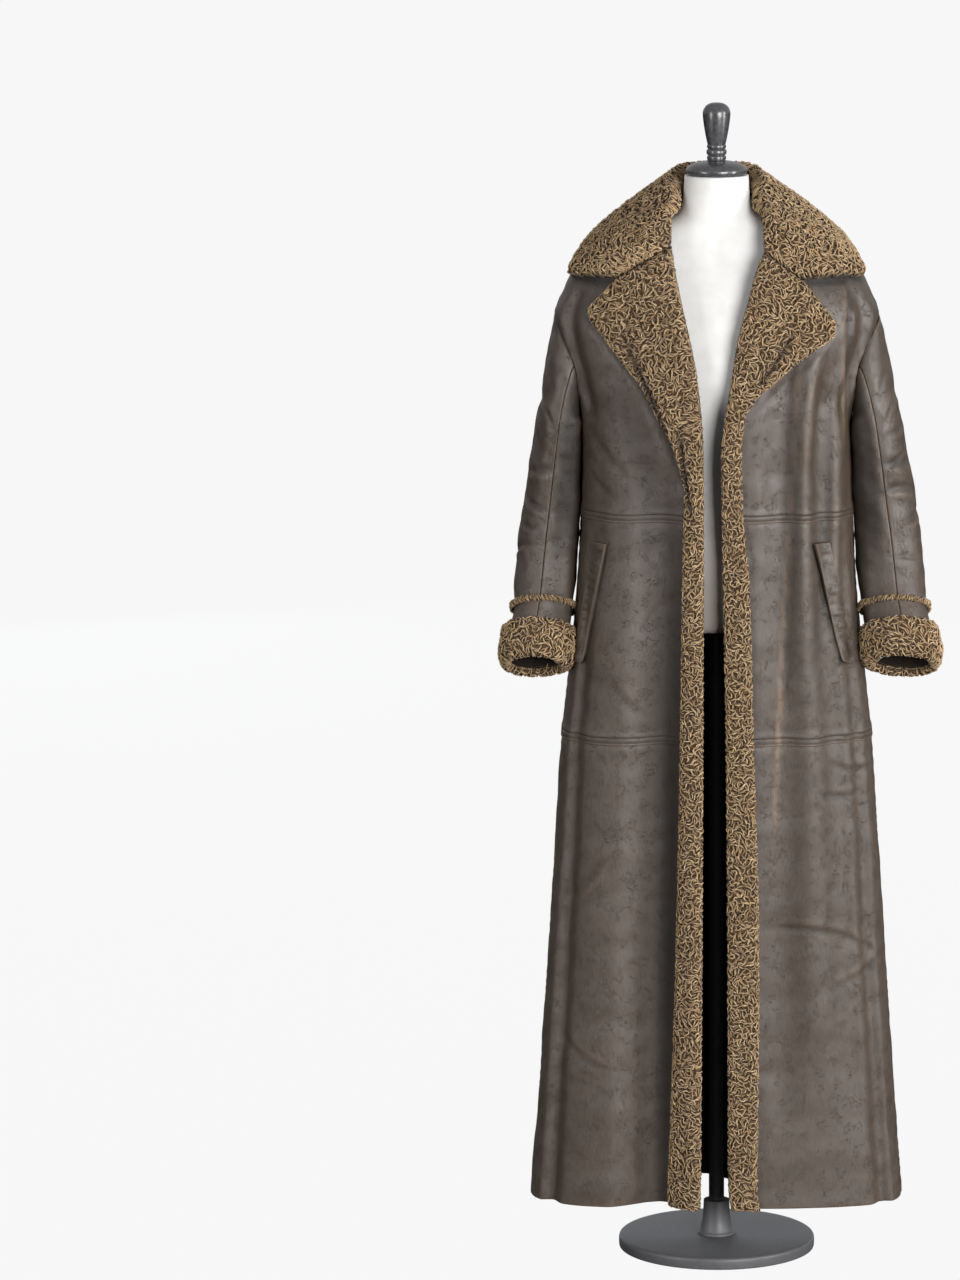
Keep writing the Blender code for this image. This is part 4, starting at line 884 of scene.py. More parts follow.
def worms(paths, normals, radii, sides):
    """Closed tubes with pointed ends along paths (count, steps, 3): rings of this many sides at the
    inner steps, and a tip at each end. Returns points and triangles."""
    count, steps = paths.shape[:2]
    ahead = unit(np.gradient(paths, axis=1))
    aside = unit(np.cross(ahead, normals))
    up = np.cross(aside, ahead)
    turn = np.arange(sides) * 2 * np.pi / sides + np.pi / 2
    around = aside[:, :, None] * np.cos(turn)[:, None] + up[:, :, None] * np.sin(turn)[:, None]
    rings = (paths[:, :, None] + around * radii[..., None, None])[:, 1:-1]
    inner = steps - 2
    points = np.concatenate([rings.reshape(count, -1, 3), paths[:, [0, -1]]], axis=1)
    ids = np.arange(inner * sides).reshape(inner, sides)
    nxt = np.roll(ids, -1, axis=1)
    a, b, c, d = ids[:-1], nxt[:-1], nxt[1:], ids[1:]
    tube = np.concatenate([np.stack([a, c, b], -1).reshape(-1, 3), np.stack([a, d, c], -1).reshape(-1, 3)])
    first, last = inner * sides, inner * sides + 1
    start = np.stack([ids[0], nxt[0], ids[0] * 0 + first], -1)
    end = np.stack([nxt[-1], ids[-1], ids[0] * 0 + last], -1)
    one = np.concatenate([tube, start, end])
    per = inner * sides + 2
    faces = (one[None] + (np.arange(count) * per)[:, None, None]).reshape(-1, 3)
    return points.reshape(-1, 3), faces, per


def closed_grid(grid, closed_rows, closed_columns):
    """The grid with its first row or column repeated where it runs round."""
    if closed_rows:
        grid = np.concatenate([grid, grid[:1]], axis=0)
    if closed_columns:
        grid = np.concatenate([grid, grid[:, :1]], axis=1)
    return grid


def at_grid(grid, u, v, closed_rows=False, closed_columns=False):
    """Points of a grid at shares u across and v along it, in straight lines between its points."""
    rows, columns = grid.shape[:2]
    u, v = (u % 1 if closed_columns else clamp(u)), (v % 1 if closed_rows else clamp(v))
    x, y = u * (columns - 1), v * (rows - 1)
    i, j = np.minimum(y.astype(int), rows - 2), np.minimum(x.astype(int), columns - 2)
    fx, fy = (x - j)[..., None], (y - i)[..., None]
    low = grid[i, j] * (1 - fx) + grid[i, j + 1] * fx
    high = grid[i + 1, j] * (1 - fx) + grid[i + 1, j + 1] * fx
    return low * (1 - fy) + high * fy


def grid_normals(grid, closed_rows=False, closed_columns=False):
    """Unit normals of a grid from its central differences."""

    def slope(axis, closed):
        if closed:
            return np.roll(grid, -1, axis) - np.roll(grid, 1, axis)
        return np.gradient(grid, axis=axis)

    return unit(np.cross(slope(1, closed_columns), slope(0, closed_rows)))


def scatter(grid, pitch, draw):
    """Places (u, v) spread evenly over a grid, one for each square of the pitch. The count that a cell
    is due is rounded, and what is left over passes to the cells beside and above it."""
    across, climb = (np.linalg.norm(np.diff(grid, axis=axis), axis=2) for axis in (1, 0))
    due = (across[:-1] + across[1:]) * (climb[:, :-1] + climb[:, 1:]) / 4 / pitch**2
    rows, columns = due.shape
    due = np.pad(due, ((0, 1), (1, 1)))
    limit = draw.uniform(0.35, 0.65, (rows, columns))
    counts = np.zeros((rows, columns), int)
    for i in range(rows):
        for j in range(columns):
            counts[i, j] = max(0, int(due[i, j + 1] + limit[i, j]))
            left = due[i, j + 1] - counts[i, j]
            due[i, j + 2] += left * 7 / 16
            due[i + 1, j : j + 3] += left * np.array([3, 5, 1]) / 16
    cell = np.repeat(np.arange(rows * columns), counts.ravel())
    u, v = cell % columns + draw.uniform(0.1, 0.9, len(cell)), cell // columns + draw.uniform(0.1, 0.9, len(cell))
    return u / columns, v / rows


def curls(name, grid, normals, pitch, long, thick, reach, material, seed, closed_rows=False, closed_columns=False,
          skip=None, lean=None, shade=None):
    """A coat of long thin curled locks. Each is a tube that follows a smooth swirling field over the
    surface, step by step from its middle both ways, so that neighbours run side by side; its ends
    dip into the ground and its middle rises to somewhere below reach. A step d turns into shares u and
    v by the surface's slopes a and b: it solves u a.a + v a.b = a.d and u a.b + v b.b = b.d."""
    draw = np.random.default_rng(seed)
    around = dict(closed_rows=closed_rows, closed_columns=closed_columns)
    points, outs = (closed_grid(g, closed_rows, closed_columns) for g in (grid, normals))
    along_u = np.gradient(points, axis=1) * (points.shape[1] - 1)
    along_v = np.gradient(points, axis=0) * (points.shape[0] - 1)
    u, v = scatter(points, pitch, draw)
    if skip is not None:
        kept = ~skip(u, v)
        u, v = u[kept], v[kept]
    count, half = len(u), LOCK_STEPS // 2
    stride = long * draw.uniform(0.6, 1.35, count) / (LOCK_STEPS - 1)
    off, bend = draw.normal(0, LOCK_STRAY, count), draw.normal(0, LOCK_BEND, count)
    u_path, v_path = np.zeros((count, LOCK_STEPS)), np.zeros((count, LOCK_STEPS))
    u_path[:, half], v_path[:, half] = u, v
    for way in (1, -1):
        here_u, here_v = u, v
        for k in range(1, half + 1):
            place = at_grid(points, here_u, here_v, **around)
            if lean is None:
                angle = 1.9 * ripple(place, SWIRL, seed + 1) + 0.8 * ripple(place, SWIRL * 0.42, seed + 2)
            else:
                angle = lean + 0.25 * ripple(place, SWIRL, seed + 1)
            angle = (angle + off + bend * stride * k * way)[:, None]
            a, b = (at_grid(slope, here_u, here_v, **around) for slope in (along_u, along_v))
            level = unit(np.cross(np.cross(a, b), a))
            step = unit(a) * np.cos(angle) + level * np.sin(angle)
            aa, ab, bb, ad, bd = ((x * y).sum(-1) for x, y in ((a, a), (a, b), (b, b), (a, step), (b, step)))
            size = way * stride / np.maximum(aa * bb - ab * ab, 1e-12)
            here_u, here_v = here_u + size * (bb * ad - ab * bd), here_v + size * (aa * bd - ab * ad)
            u_path[:, half + way * k], v_path[:, half + way * k] = here_u, here_v
    t = np.linspace(-0.5, 0.5, LOCK_STEPS)[None, :]
    out = unit(at_grid(outs, u_path, v_path, **around))
    lift = draw.uniform(0.45, 1.0, count)[:, None]
    arch = 1 - np.abs(2 * t) ** 3
    rise = reach * lift * arch - thick * 0.6 * (1 - arch)
    paths = at_grid(points, u_path, v_path, **around) + out * rise[..., None]
    taper = np.array([0.0, *[0.85], *[1.0] * (LOCK_STEPS - 4), *[0.85], 0.0])[None, :]
    radii = thick / 2 * taper * draw.uniform(0.8, 1.2, count)[:, None]
    made, faces, per = worms(paths, out, radii, 3)
    tone = np.repeat(draw.uniform(0, 1, count), per)
    # Painted light on each lock: its top edge is pale and its two lower edges and dipping ends dark; higher locks are
    # paler and locks in painted furrow shade darker.
    ridge = np.array([1.0, 0.05, 0.05])[None, None, :]
    ring = ((0.4 + 0.6 * lift) * arch)[:, 1:-1, None] * ridge
    crest = np.concatenate([ring.reshape(count, -1), np.zeros((count, 2))], axis=1)
    if shade is not None:
        crest = crest * (1 - 0.8 * at_grid(shade[..., None], u, v, **around))
    piece = put_mesh(name, made, np.zeros((0, 4), int), faces, [material], tone=tone, crest=clamp(crest))
    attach(piece, "root")
    return piece


def pad_section(width, radius, share):
    """Across a pad with rounded edges, at shares of its length over the top: the distance across and
    the height. Both edges are quarter circles of this radius, and the top is flat between them."""
    arc = np.pi / 2 * radius
    length = width - 2 * radius + 2 * arc
    along = share * length
    back = length - along
    turn = np.minimum(along, back) / np.maximum(radius, 1e-6)
    flat = turn > np.pi / 2
    near = np.where(flat, radius + np.minimum(along, back) - arc, radius * (1 - np.cos(turn)))
    height = np.where(flat, radius, radius * np.sin(np.minimum(turn, np.pi / 2)))
    return np.where(along <= back, near, width - near), height


# ------------------------------------------------------------------------------------- materials


def add_node(tree, kind, links=(), **settings):
    """Adds a node. settings are its properties or, where none has that name, its inputs; links are
    (input, socket) pairs."""
    node = tree.nodes.new(kind)
    for key, value in settings.items():
        if hasattr(node, key):
            setattr(node, key, value)
        else:
            node.inputs[key.replace("_", " ") if key.replace("_", " ") in node.inputs else key].default_value = value
    for key, socket in links:
        tree.links.new(socket, node.inputs[key])
    return node


def new_material(name):
    """An empty node material with its shader and output."""
    material = bpy.data.materials.new(name)
    material.use_nodes = True
    tree = material.node_tree
    tree.nodes.clear()
    shader = tree.nodes.new("ShaderNodeBsdfPrincipled")
    output = tree.nodes.new("ShaderNodeOutputMaterial")
    tree.links.new(shader.outputs["BSDF"], output.inputs["Surface"])
    return material, tree, shader


def scaled_place(tree, size_mm, stretch=(1, 1, 1)):
    """Object coordinates scaled so that a pattern's cell is this many millimetres."""
    place = add_node(tree, "ShaderNodeTexCoord")
    mapping = add_node(tree, "ShaderNodeMapping", [("Vector", place.outputs["Object"])])
    mapping.inputs["Scale"].default_value = [1000 / size_mm * s for s in stretch]
    return mapping.outputs["Vector"]


def mixed(tree, share, first, last, blend="MIX"):
    """Two colours mixed; each is a socket or a hex code."""
    node = add_node(tree, "ShaderNodeMix", data_type="RGBA", blend_type=blend)
    for socket, value in ((node.inputs[0], share), (node.inputs[6], first), (node.inputs[7], last)):
        if isinstance(value, bpy.types.NodeSocket):
            tree.links.new(value, socket)
        else:
            socket.default_value = linear(value) if isinstance(value, str) else value
    return node.outputs[2]


def maths(tree, operation, first, second=0.0):
    """A Math node of one or two values."""
    node = add_node(tree, "ShaderNodeMath", operation=operation)
    for socket, value in zip(node.inputs, (first, second)):
        if isinstance(value, bpy.types.NodeSocket):
            tree.links.new(value, socket)
        else:
            socket.default_value = value
    return node.outputs[0]


def remapped(tree, value, low, high, to_low, to_high):
    """A value moved from one range to another and held inside it."""
    node = add_node(tree, "ShaderNodeMapRange", [("Value", value)])
    for key, number in (("From Min", low), ("From Max", high), ("To Min", to_low), ("To Max", to_high)):
        node.inputs[key].default_value = number
    return node.outputs["Result"]


def point_value(tree, name):
    """A float kept on the piece's points."""
    return add_node(tree, "ShaderNodeAttribute", attribute_name=name).outputs["Fac"]


def noise(tree, size_mm, stretch=(1, 1, 1), **settings):
    """The value of a noise whose clouds are this many millimetres."""
    links = [("Vector", scaled_place(tree, size_mm, stretch))]
    return add_node(tree, "ShaderNodeTexNoise", links, **settings).outputs["Fac"]


def pebbles(tree, size_mm, stretch=(1, 1, 1), **settings):
    """How far a point lies from the middle of its cell, in a pattern of this many millimetres."""
    links = [("Vector", scaled_place(tree, size_mm, stretch))]
    return add_node(tree, "ShaderNodeTexVoronoi", links, **settings).outputs["Distance"]


def height_up(tree):
    """The height above the floor."""
    place = add_node(tree, "ShaderNodeTexCoord").outputs["Object"]
    return add_node(tree, "ShaderNodeSeparateXYZ", [("Vector", place)]).outputs["Z"]


def joined(made, colour, height=None, bump=(0, 0), invert=False, **inputs):
    """Joins a colour, other inputs and a bump (strength and distance) to a new material's shader."""
    material, tree, shader = made
    for key, value in {"Base_Color": colour, **inputs}.items():
        socket = shader.inputs[key.replace("_", " ")]
        if isinstance(value, bpy.types.NodeSocket):
            tree.links.new(value, socket)
        else:
            socket.default_value = value
    if height is not None:
        node = add_node(tree, "ShaderNodeBump", [("Height", height)], Strength=bump[0], Distance=bump[1])
        node.invert = invert
        tree.links.new(node.outputs["Normal"], shader.inputs["Normal"])
    return material


def leather_material(look):
    """Faux leather: polyurethane skin pressed with a fine pebble grain and rubbed by hand. It has a
    satin shine in soft streaks, cloudy taupe tones, paler lines where folds and edges rub, and patches
    of fine level crinkles, drawn where a coarse noise crosses its middle value. Painted shade darkens
    its troughs, seams and crinkle lines."""
    made = new_material("pressed_faux_leather")
    tree = made[1]
    cloud = noise(tree, 95, Detail=5.0, Roughness=0.6)
    streak = noise(tree, 7, (1, 1, 0.14), Detail=4.0, Roughness=0.6)
    fine = noise(tree, 2.6, Detail=3.0, Roughness=0.6)
    grain = pebbles(tree, look.grain, (1, 1, 0.7), feature="SMOOTH_F1", Smoothness=0.6)
    colour = mixed(tree, remapped(tree, cloud, 0.34, 0.66, 0.0, 1.0), (*look.shade, 1), (*look.colour, 1))
    colour = mixed(tree, remapped(tree, streak, 0.3, 0.7, 0.0, 0.5), colour, "#6e6358")
    colour = mixed(tree, remapped(tree, fine, 0.35, 0.65, 0.0, 0.46), colour, "#372f28")
    rubbed = maths(tree, "MULTIPLY", point_value(tree, "worn"), remapped(tree, streak, 0.3, 0.6, 0.5, 1.0))
    colour = mixed(tree, maths(tree, "MULTIPLY", rubbed, 0.7), colour, (*look.worn, 1))
    # Painted shade: troughs, seams, welt shadows and the under sleeves darken towards #221c17.
    deep = maths(tree, "MINIMUM", maths(tree, "MULTIPLY", point_value(tree, "trough"), 0.47), 1.0)
    colour = mixed(tree, deep, colour, "#221c17")
    wave = noise(tree, 30, (1, 1, 2.4), Detail=2.0, Distortion=0.5)
    patch = noise(tree, 80, Detail=1.0)
    off = maths(tree, "ABSOLUTE", maths(tree, "SUBTRACT", wave, 0.5))
    line = remapped(tree, off, 0.0, 0.022, 1.0, 0.0)
    crinkle = maths(tree, "MULTIPLY", line, remapped(tree, patch, 0.52, 0.60, 0.0, 1.0))
    # Painted shade in the crinkle lines.
    colour = mixed(tree, maths(tree, "MULTIPLY", crinkle, 0.35), colour, "#2a231d")
    rough = remapped(tree, cloud, 0.3, 0.7, look.roughness - 0.06, look.roughness + 0.08)
    duller = remapped(tree, height_up(tree), MATT_BELOW, SATIN_ABOVE, look.duller, 0.0)
    duller = maths(tree, "ADD", duller, maths(tree, "MULTIPLY", deep, 0.3))
    height = maths(tree, "ADD", maths(tree, "MULTIPLY", grain, 0.8), fine)
    height = maths(tree, "ADD", height, maths(tree, "MULTIPLY", streak, 0.8))
    height = maths(tree, "SUBTRACT", height, maths(tree, "MULTIPLY", crinkle, 3.2))
    return joined(made, colour, height, (0.6, 0.00042), Roughness=maths(tree, "ADD", rough, duller), IOR=1.5,
                  Specular_IOR_Level=0.75)


def lining_material():
    """The coat's inner side: dense short pile, matt, coloured nearly black as painted shade for the inside of the coat.
    """
    made = new_material("inner_pile")
    tree = made[1]
    tuft = pebbles(tree, 5, feature="SMOOTH_F1")
    # Painted shade: the lining's colour is drawn nearly black.
    colour = mixed(tree, remapped(tree, tuft, 0.1, 0.7, 0, 1), "#2b2016", "#120c08")
    return joined(made, colour, tuft, (0.8, 0.002), True, Roughness=0.95)


def curl_material(look):
    """Curly acrylic pile, brushed and steamed into tight locks, with painted light: pale on each lock's crest, and dark
    painted shade on its sides and ends.
    """
    made = new_material("curly_acrylic_pile")
    tree = made[1]
    tone, crest = point_value(tree, "tone"), point_value(tree, "crest")
    fibre, cloud = noise(tree, 1.4, Detail=2.0), noise(tree, 40, Detail=3.0)
    pale = mixed(tree, tone, (*look.colour, 1), (*look.tip, 1))
    body = mixed(tree, remapped(tree, cloud, 0.3, 0.7, 0, 0.4), pale, "#83663f")
    # Painted light and shade: a lock's crest takes the pale body colour, its sides and ends the dark root colour.
    colour = mixed(tree, remapped(tree, crest, 0.22, 0.78, 0.0, 1.0), (*look.root, 1), body)
    colour = mixed(tree, remapped(tree, fibre, 0.35, 0.65, 0, 0.18), colour, "#4a3722")
    return joined(made, colour, fibre, (0.5, 0.0004), Roughness=0.8, Sheen_Weight=0.15, Sheen_Roughness=0.5)


def root_material(look):
    """The ground under the loose locks: tightly packed locks that wind like a labyrinth. The waves of
    a Gabor pattern are 3.4 mm apart, a little coarser than the real 3 mm so that they show."""
    made = new_material("pile_ground")
    tree = made[1]
    waves = add_node(tree, "ShaderNodeTexGabor", [("Vector", scaled_place(tree, 1000))], gabor_type="3D",
                     Scale=118.0, Frequency=2.5, Anisotropy=0.0).outputs["Value"]
    cloud = noise(tree, 30, Detail=3.0)
    crest = remapped(tree, waves, 0.38, 0.64, 0.0, 1.0)
    body = mixed(tree, remapped(tree, cloud, 0.3, 0.7, 0, 0.6), "#7a5c3a", "#513b24")
    # Painted shade: the valleys between the waves take the dark root colour, and so do the furrows and ends that shade
    # marks.
    colour = mixed(tree, crest, (*look.root, 1), body)
    colour = mixed(tree, maths(tree, "MULTIPLY", point_value(tree, "shade"), 0.85), colour, (*look.root, 1))
    return joined(made, colour, crest, (0.9, 0.0014), Roughness=0.85)


def cover_material(look):
    """White cotton jersey stretched tight over the form: matt, with painted shade that greys it low down
    where the coat keeps it dark, and a faint knit drawn at 1.5 mm, coarser than the real 0.6 mm so that it shows."""
    made = new_material("cotton_jersey_cover")
    tree = made[1]
    knit = pebbles(tree, 1.5, (1, 1, 0.6))
    cloud = noise(tree, 120, Detail=2.0)
    colour = mixed(tree, remapped(tree, cloud, 0.3, 0.7, 0, 1), (*look.cover, 1), "#ecebe8")
    # Painted shade: darker towards #8d8278 from 1.34 m down to 1.05 m.
    colour = mixed(tree, remapped(tree, height_up(tree), 1.34, 1.05, 0.0, 0.9), colour, "#8d8278")
    return joined(made, colour, knit, (0.15, 0.0003), Roughness=0.62, Sheen_Weight=0.1)


def black_material(name, code, roughness, coat):
    """Powder-coated steel, or lacquered turned wood: black with a faint orange-peel skin."""
    made = new_material(name)
    tree = made[1]
    cloud, peel = noise(tree, 30, Detail=3.0), noise(tree, 1.2, Detail=2.0)
    colour = mixed(tree, remapped(tree, cloud, 0.3, 0.7, 0, 0.5), code, "#626264")
    rough = remapped(tree, cloud, 0.3, 0.7, roughness - 0.05, roughness + 0.07)
    return joined(made, colour, peel, (0.12, 0.0002), Roughness=rough, Coat_Weight=coat, Coat_Roughness=0.2)


def thread_material():
    """Bonded polyester sewing thread, dark brown with a slight gloss."""
    made = new_material("sewing_thread")
    colour = mixed(made[1], noise(made[1], 0.8, Detail=1.0), "#2a231e", "#4b4038")
    return joined(made, colour, Roughness=0.55)


def material(name):
    """A material by its name, made the first time."""
    scene = bpy.context.scene
    makers = {
        "pressed_faux_leather": lambda: leather_material(scene.coat_leather),
        "inner_pile": lining_material,
        "curly_acrylic_pile": lambda: curl_material(scene.coat_pile),
        "pile_ground": lambda: root_material(scene.coat_pile),
        "cotton_jersey_cover": lambda: cover_material(scene.coat_form),
        "powder_coated_steel": lambda: black_material("powder_coated_steel", "#58585a", 0.42, 0.0),
        "lacquered_wood": lambda: black_material("lacquered_wood", "#3a3a3c", 0.34, 0.9),
        "sewing_thread": thread_material,
    }
    return bpy.data.materials.get(name) or makers[name]()


def finished(piece, nodes):
    """Puts a piece on the coat's body in place of its nodes."""
    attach(piece, "root")
    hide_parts(*nodes)
    return piece


def half_surface(piece):
    """Half of a closed piece's surface, which is the area of its cloth."""
    mesh = piece.data
    areas = np.zeros(len(mesh.polygons))
    mesh.polygons.foreach_get("area", areas)
    return float(areas.sum() / 2)


# --------------------------------------------------------------------------------------- leather


def seam_lift(distance, low, high, lap_bottom, lap_top):
    """Relief near the seams of a body panel, from the distances to its four edges. The bottom edge of
    an upper panel laps over the one below, so it is raised and thin; the top edge of a lower panel is
    sunk under it; every other edge is rolled."""
    left, right = distance
    relief = -edge_roll(left) - edge_roll(right)
    if lap_bottom:
        relief = relief + LAP_RAISE * (1 - ease((low - LAP_BAND) / 0.006)) - edge_roll(low, 0.0008)
        relief = relief - 0.0010 * bell(low - UPPER_DENT, 0.0010)
        relief = relief - 0.0007 * bell(low - LOWER_DENT, 0.0009)
    else:
        relief = relief - edge_roll(low)
    if lap_top:
        relief = relief - LAP_SUNK * (1 - ease((high - LAP_UNDER) / 0.003))
    else:
        relief = relief - edge_roll(high)
    return relief


def body_rows(bottom, top, dense, lap_bottom):
    """Levels of a panel's rows, close together across a lapped seam. A dense stretch has its rows
    bunched at both ends, for the armhole."""
    rim = np.array(EDGE_LINES)
    low_rim = np.array(LAP_LINES if lap_bottom else EDGE_LINES)
    levels = [bottom + low_rim]
    start = bottom + low_rim[-1]
    for low, high in dense:
        count = max(2, round((low - start) / BODY_STEP))
        levels.append(np.linspace(start, low, count + 1)[1:-1])
        turn = np.linspace(0, np.pi, 41)
        levels.append((low + high) / 2 - (high - low) / 2 * np.cos(turn))
        start = high
    end = top - rim[-1]
    count = max(2, round((end - start) / BODY_STEP))
    levels.append(np.linspace(start, end, count + 1)[1:-1])
    levels.append(top - rim[::-1])
    return np.unique(np.round(np.concatenate(levels), 7))


def welt_x(welt, across, up):
    """How far from the middle of the body a place on a welt lies."""
    inner, outer = mix(welt.bottom_inner, welt.top_inner, up), mix(welt.bottom_outer, welt.top_outer, up)
    return mix(inner, outer, across)


def welt_shadow(points):
    """The painted shadow of a pocket welt: a dark line along its inner edge, where the pocket opens, over its top and,
    fainter, under it.
    """
    dark = np.zeros(points.shape[:2])
    for welt in WELTS:
        x, z = welt.side * points[..., 0], points[..., 2]
        share = (z - welt.bottom) / (welt.top - welt.bottom)
        inner, outer = mix(welt.bottom_inner, welt.top_inner, share), mix(welt.bottom_outer, welt.top_outer, share)
        beside = bell(x - inner, 0.0030) * (share > 0) * (share < 1.01)
        above = bell(z - welt.top, 0.0028) * (x > inner) * (x < outer)
        below = bell(z - welt.bottom, 0.0028) * (x > inner) * (x < outer)
        facing = points[..., 0] * welt.side > 0
        dark = np.maximum(dark, np.maximum(np.maximum(beside, 0.8 * above), 0.5 * below) * facing)
    return dark


def body_panel(name, first, last, bottom, top, lap_bottom, lap_top, dense, strength):
    """A body panel between two seams round the coat and two levels: the coat's face plus its relief."""
    level = body_rows(bottom, top, dense, lap_bottom)
    start, end = first(level), last(level)
    width = row_widths(start, end, level)
    gap = SEAM_GAP / 2
    places = gap + spread(width - 2 * gap, BODY_STEP)
    around = mix(start[:, None], end[:, None], places / width[:, None])
    level = level[:, None] + 0 * around
    face, out = coat_point(around, level), coat_normal(around, level)
    relief, worn, trough = body_creases(face, strength)
    distances = (places - gap, width[:, None] - gap - places)
    low, high = level - bottom, top - level
    relief = relief * ease((np.minimum(*distances) - 0.001) / 0.02)
    slack = relief
    relief = relief + seam_lift(distances, low, high, lap_bottom, lap_top)
    waves = np.sin(level * 2 * np.pi / 0.021 + 3 * ripple(face, 0.08, 9))
    pucker = 0.0006 * waves * np.exp(-np.minimum(*distances) / 0.006)
    outer = face + out * (relief + pucker)[..., None]
    thickness = CLOTH + 0 * level
    if lap_bottom:
        thickness = mix(LAP_EDGE_THICK - LAP_RAISE, CLOTH, ease(low / 0.016))
    inner = face + out * (lowest(slack) - thickness)[..., None]
    edge_wear = bell(np.minimum(np.minimum(*distances), np.minimum(low, high)), 0.003)
    worn = np.maximum(worn, 0.2 * edge_wear)
    # Painted shade along the seam edges and in the stitch dents.
    painted_seam_shade = bell(np.minimum(*distances), 0.0012)
    if lap_bottom:
        painted_seam_shade = np.maximum(painted_seam_shade, 0.7 * bell(low - UPPER_DENT, 0.0010))
        painted_seam_shade = np.maximum(painted_seam_shade, 0.5 * bell(low - LOWER_DENT, 0.0010))
    trough = np.maximum(trough, painted_seam_shade)
    # Painted shadow round the pocket welts.
    if name.startswith("front_middle"):
        trough = np.maximum(trough, DARKEST_PAINTED_SHADE * welt_shadow(face))
    looks = [material("pressed_faux_leather"), material("inner_pile")]
    piece = leather_shell(f"{name}_leather", outer, inner, looks, worn=worn, trough=trough)
    cut = half_surface(piece)
    return finished(piece, [name])


def sleeve_panel(name, side, first, last, start, end, strength):
    """A lengthwise piece of a sleeve between two of its seams."""
    turns = np.linspace(first, last, 41)
    middle = sleeve_point(side, turns, np.full(41, (start + end) / 2))
    broad = float(np.linalg.norm(np.diff(middle, axis=0), axis=1).sum())
    tall = (end - start) * SLEEVE_LENGTH
    turn = mix(first, last, spread(broad, SLEEVE_STEP)[0] / broad)[None, :]
    along = mix(start, end, spread(tall, SLEEVE_STEP)[0] / tall)[:, None]
    turn, along = np.broadcast_arrays(turn, along)
    wide = np.linalg.norm(sleeve_point(side, turn + 0.002, along) - sleeve_point(side, turn, along), axis=-1) / 0.002
    share = (turn - first) / (last - first)
    shift = (0.5 - share) * 2 * (SEAM_GAP / 2) / wide
    face, out = sleeve_point(side, turn + shift, along), sleeve_normal(side, turn, along)
    rows = [
        ((c.turn * SLEEVE_AROUND, c.along * SLEEVE_LENGTH), (c.to_turn * SLEEVE_AROUND, c.to_along * SLEEVE_LENGTH),
         c.bend, c.width, c.depth * SLEEVE_DEPTH * strength, c.worn * 0.5)
        for c in SLEEVE_CREASES[side]
    ]
    relief, worn, trough = crease_relief(wrapped(turn * 2) / 2 * SLEEVE_AROUND, along * SLEEVE_LENGTH, rows)
    relief = relief + strength * (0.0012 * ripple(face, 0.07, 15) + 0.0006 * ripple(face, 0.028, 16))
    left, right = share * broad, (1 - share) * broad
    low, high = (along - start) * SLEEVE_LENGTH, (end - along) * SLEEVE_LENGTH
    nearest = np.minimum(np.minimum(left, right), np.minimum(low, high))
    slack = relief * ease((nearest - 0.001) / 0.016)
    relief = slack - edge_roll(left) - edge_roll(right) - edge_roll(low) - edge_roll(high)
    outer = face + out * relief[..., None]
    inner = face + out * (lowest(slack) - SLEEVE_CLOTH)[..., None]
    worn = np.maximum(worn, 0.2 * bell(nearest, 0.003))
    # Painted shade along the seam edges.
    trough = np.maximum(trough, bell(nearest, 0.0012))
    # Painted shade on the body side of the under sleeve, where the coat keeps it dark.
    if name.startswith("under_sleeve"):
        shown = ease((SHADE_TO - turn) / 0.05) * ease((turn - SHADE_FROM) / 0.08) * ease((SHADE_END - along) / 0.3)
        trough = np.maximum(trough, UNDER_SHADE * shown)
    looks = [material("pressed_faux_leather"), material("inner_pile")]
    piece = leather_shell(f"{name}_leather", outer, inner, looks, worn=worn, trough=trough)
    cut = half_surface(piece)
    return finished(piece, [name])


# ------------------------------------------------------------------------------------------ pile


def pile_piece(name, nodes, under, outs, heights, root_share, look, seed, ring=False, split=None,
               leather_under=False, pitch=None, long=None, thick=None, shade=None):
    """A pad of pile: a ground from its under face out to a share of its height, and curls from there
    out to its full height. shade is how dark a furrow is, from 0 to 1."""
    shade = np.zeros(heights.shape) if shade is None else shade
    pitch, long, thick = pitch or look.pitch, long or look.curl_length, thick or look.curl_width
    reach = float(heights.max()) * (1 - root_share)
    grounds = under + outs * (np.maximum(heights - reach, heights * 0.4))[..., None]
    uneven = 0.0008 * ripple(grounds, 0.012, seed + 7)
    top = grounds + outs * (uneven * (heights > 0.001))[..., None]
    bottom = under[:, np.linspace(under.shape[1] - 1, 0, 6).round().astype(int)[1:-1]]
    loops = np.concatenate([top, bottom], axis=1)
    dark = np.concatenate([shade, np.zeros(bottom.shape[:2])], axis=1)
    columns = loops.shape[1]
    ids = np.zeros(columns)
    ids[top.shape[1] - 1 :] = 1 if leather_under else 0
    materials = [material("pile_ground")] + ([material("pressed_faux_leather")] if leather_under else [])
    piece = loft(f"{name}_ground", loops, materials, ring=ring, indices=ids, shade=dark)
    for k, (start, end) in enumerate(split or [(0, under.shape[0])]):
        label = f"{name}_curls" + (f"_{k + 1}" if split else "")
        curls(label, grounds[start:end], outs[start:end], pitch, long, thick, reach,
                  material("curly_acrylic_pile"), seed + k, shade=shade[start:end])
    cut = half_surface(piece)
    return finished(piece, nodes)


